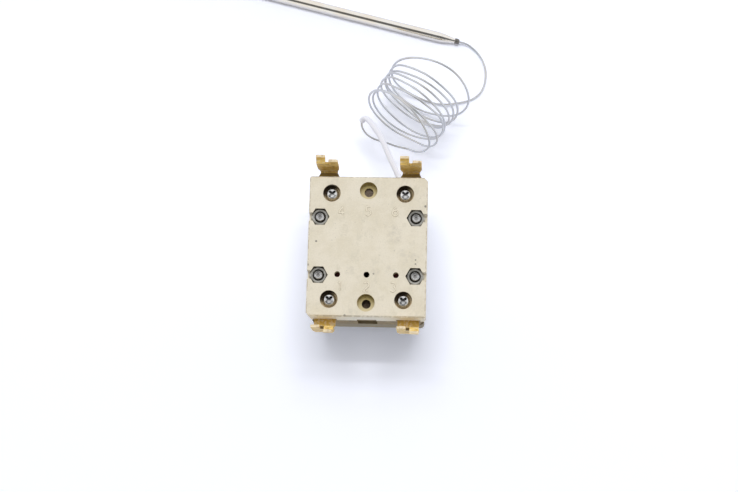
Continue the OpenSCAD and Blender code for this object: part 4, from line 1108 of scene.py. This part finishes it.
class THERMOSTAT_OT_fasteners(Operator):
    """Turns the clamp studs and nuts and the terminal screws, with their threads, chamfers and recesses"""

    bl_idname = "thermostat.build_fasteners"
    bl_label = "Nuts, studs and screws"

    def execute(self, context):
        plan = context.scene.thermostat_metal
        pieces = (
            ("hexagon_nuts", self.nut_points(), STUD_X, STUD_Y,
             zinc_plate("nut_zinc", plan.zinc, dirt=(1.8, 2.2)), 28, "zinc_nut", "clamp_nuts"),
            ("threaded_studs", self.stud_points(plan.pitch / MM), STUD_X, STUD_Y,
             stud_nickel(times(plan.nickel, 0.68)), 35, "plated_steel", "clamp_studs"),
            ("cross_screws", self.screw_points(), SCREW_X, SCREW_Y,
             screw_nickel(plan.nickel), 40, "plated_steel", "terminal_screws"),
        )
        for name, points, x, y, material, sharp, slot, node in pieces:
            places = np.array([(east * x, north * y, 0) for east in (-1, 1) for north in (-1, 1)])
            copies = points[None] + places[:, None, None, :]
            place_piece(grid_piece(name, copies, material, sharp=sharp), "base", slot, node)
        return {"FINISHED"}

    def nut_points(self):
        """Rows run from the bore's foot out under the nut, up its flats, over the chamfered corners and
        down the countersink. The hexagon's radius is half the size across flats, divided by the cosine of
        the angle from the nearest flat's middle. A chamfered row is as low as the corner stands out past
        the chamfer's circle, times the chamfer's slope."""
        across, height, bore, mouth = 6.0, 2.8, 1.77, 0.45
        circle, slope = across / 2 * 0.985, 0.62
        angle = np.linspace(0, 2 * math.pi, 72, endpoint=False)
        hexagon = across / 2 / np.cos((angle % (math.pi / 3)) - math.pi / 6)
        face = np.minimum(hexagon, circle)
        fall = np.maximum(hexagon - circle, 0) * slope
        rows = [
            (bore, 0), (face, 0), (hexagon, fall), (hexagon, fall + 0.06), (hexagon, height - fall - 0.06),
            (hexagon, height - fall), (face, height), (face - 0.08, height), (bore + mouth + 0.05, height),
            (bore + mouth, height - 0.02), (bore + 0.05, height - mouth), (bore, height - mouth - 0.05),
            (bore, 0),
        ]
        radius, level = [np.stack([np.broadcast_to(row[k], angle.shape) for row in rows]) for k in (0, 1)]
        return round_grid(radius, level + POCKET_FLOOR, angle)

    def stud_points(self, pitch):
        """A stud with a foot, a plain shank and a threaded end, whose thread fades in at its foot."""
        sides, rows = 48, 80
        shank, foot, thread_foot, top = 1.75, 2.05, 26.2, 33.9
        angle = np.linspace(0, 2 * math.pi, sides, endpoint=False)
        levels = np.concatenate([[1.2, 1.2, 2.35, 2.4, 26], np.linspace(thread_foot, top - 0.35, rows)])
        radii = np.concatenate([[0, foot, foot, shank, shank], np.full(rows, shank)])
        fade = np.clip((levels - thread_foot) / 1.2, 0, 1)[:, None]
        radius = radii[:, None] - thread_cut(levels, angle, pitch, 0.3 * pitch) * fade
        end = [(1.45, 0.05), (1.38, 0), (0.92, 0), (0.86, 0.03), (0.62, 0.28), (0.3, 0.36), (0.0, 0.38)]
        end_radius, end_level = rings([(r, top - down) for r, down in end], sides)
        level = np.vstack([np.repeat(levels[:, None], sides, 1), end_level])
        return round_grid(np.vstack([radius, end_radius]), level, angle)

    def screw_points(self):
        """A domed screw with a tapered cross recess. The head's height falls with the quarter of an
        ellipse from the crown's edge outwards. The recess is a depth times a smooth step of how far the
        point lies inside the nearer wing's width, times a power of how far it lies inside the cross's
        reach."""
        head, height, rim, crown, shank = 2.7, 2.6, 1.1, 1.35, 1.75
        half_wing, cross, depth, pitch = 0.48, 1.72, 1.35, 0.7
        sides = 144
        angle = np.linspace(0, 2 * math.pi, sides, endpoint=False)
        r = np.concatenate([np.linspace(0, 1.95, 34), np.linspace(2.0, head, 14)])[:, None]
        dome = rim + (height - rim) * np.sqrt(1 - np.clip((r - crown) / (head - crown), 0, 1) ** 2)
        turned = angle - math.pi / 4
        across = r * np.minimum(np.abs(np.sin(turned)), np.abs(np.cos(turned)))
        inside = np.clip((half_wing - across) / 0.14, 0, 1)
        inside = inside * inside * (3 - 2 * inside)
        reach = np.clip((cross - r) / 0.75, 0, 1) ** 0.8
        side = rings([(head, rim), (head, 0.25), (head - 0.2, 0.0), (shank, 0.0)], sides)
        thread = np.linspace(-0.2, -8.8, 60)
        thread_radius = shank - thread_cut(thread, angle, pitch, 0.2)
        tip = rings([(shank - 0.3, -9.0), (0.0, -9.0)], sides)
        thread_level = np.repeat(thread[:, None], sides, 1)
        radius = np.vstack([np.repeat(r, sides, 1), side[0], thread_radius, tip[0]])
        level = np.vstack([dome - depth * inside * reach, side[1], thread_level, tip[1]])
        return round_grid(radius, level + POCKET_FLOOR, angle)[::-1]


class THERMOSTAT_OT_terminals(Operator):
    """Finishes the four forked brass terminals with rounded stamped edges"""

    bl_idname = "thermostat.build_terminals"
    bl_label = "Terminals"

    def execute(self, context):
        plan = context.scene.thermostat_metal
        brass = terminal_brass(plan.brass)
        for place in ("upper_left", "upper_right", "lower_left", "lower_right"):
            fork = softened_copy("fork_" + place, "terminal_" + place, brass, plan.edge)
            place_piece(fork, "base", "terminal_brass", "terminal_" + place)
        return {"FINISHED"}


class THERMOSTAT_OT_front(Operator):
    """Finishes the front pan, the bush, the shaft and its washer and clip"""

    bl_idname = "thermostat.build_front"
    bl_label = "Pan and shaft"

    def execute(self, context):
        plan = context.scene.thermostat_metal
        pan = softened_copy("front_pan_pressing", "front_pan", soiled_zinc(plan.zinc), plan.edge)
        place_piece(pan, "base", "zinc_sheet", "front_pan")
        nodes = frame["nodes"]
        dress(nodes["shaft_bush"], turned_brass(plan.brass))
        dress(nodes["adjusting_shaft"], nickel_plate("shaft_nickel", plan.nickel, 0.1).material)
        dress(nodes["shaft_clip"], spring_steel())
        dress(nodes["stop_washer"], zinc_plate("washer_zinc", plan.zinc))
        return {"FINISHED"}


class THERMOSTAT_OT_inside(Operator):
    """Gives the pieces inside the body their finishes"""

    bl_idname = "thermostat.build_inside"
    bl_label = "Inner mechanism"

    def execute(self, context):
        plan = context.scene.thermostat_metal
        cream = made_material("cover_ceramic")
        spring = made_material("spring_steel")
        silver = contact_silver()
        zinc = zinc_plate("drive_zinc", plan.zinc)
        finishes = {
            "diaphragm_carrier": zinc, "rocker_lever": zinc,
            "diaphragm": nickel_plate("capsule_steel", times(plan.nickel, 0.85)).material,
            "lever_pivot_pin": nickel_plate("pivot_steel", times(plan.nickel, 0.9)).material,
            "push_pin_left": cream, "push_pin_right": cream,
            "snap_blade_left": spring, "snap_blade_right": spring,
            "moving_contact_left": silver, "moving_contact_right": silver,
            "fixed_contact_left": silver, "fixed_contact_right": silver,
            "calibration_screws": red_lacquer(),
        }
        for node, finish in finishes.items():
            dress(frame["nodes"][node], finish)
        return {"FINISHED"}


class THERMOSTAT_PT_panel(Panel):
    """The sidebar's list of pieces"""

    bl_idname = "THERMOSTAT_PT_panel"
    bl_label = "Thermostat"
    bl_space_type = "VIEW_3D"
    bl_region_type = "UI"
    bl_category = "Thermostat"

    def draw(self, context):
        for piece in PIECES:
            self.layout.operator(piece.bl_idname)
        for plan in PLANS:
            group = getattr(context.scene, plan)
            for name in group.__class__.__annotations__:
                self.layout.prop(group, name)


PLANS = {
    "thermostat_stage": StagePlan,
    "thermostat_capillary": CapillaryPlan,
    "thermostat_bulb": BulbPlan,
    "thermostat_ceramic": CeramicPlan,
    "thermostat_marks": MarkPlan,
    "thermostat_metal": MetalPlan,
}
PIECES = (
    THERMOSTAT_OT_stage, THERMOSTAT_OT_capillary, THERMOSTAT_OT_ceramic, THERMOSTAT_OT_marks,
    THERMOSTAT_OT_fasteners, THERMOSTAT_OT_terminals, THERMOSTAT_OT_front, THERMOSTAT_OT_inside,
)
CLASSES = (*PLANS.values(), *PIECES, THERMOSTAT_PT_panel)


def register():
    """Makes the classes known and gives the scene its sizes and colours."""
    for each in CLASSES:
        bpy.utils.register_class(each)
    for name, plan in PLANS.items():
        setattr(bpy.types.Scene, name, PointerProperty(type=plan))


def unregister():
    """Takes back what register has done."""
    for name in PLANS:
        delattr(bpy.types.Scene, name)
    for each in reversed(CLASSES):
        bpy.utils.unregister_class(each)


def main():
    """Builds every piece in order."""
    register()
    bpy.ops.thermostat.build_stage()
    bpy.ops.thermostat.build_capillary()
    bpy.ops.thermostat.build_ceramic()
    bpy.ops.thermostat.build_marks()
    bpy.ops.thermostat.build_fasteners()
    bpy.ops.thermostat.build_terminals()
    bpy.ops.thermostat.build_front()
    bpy.ops.thermostat.build_inside()


if __name__ == "__main__":
    main()
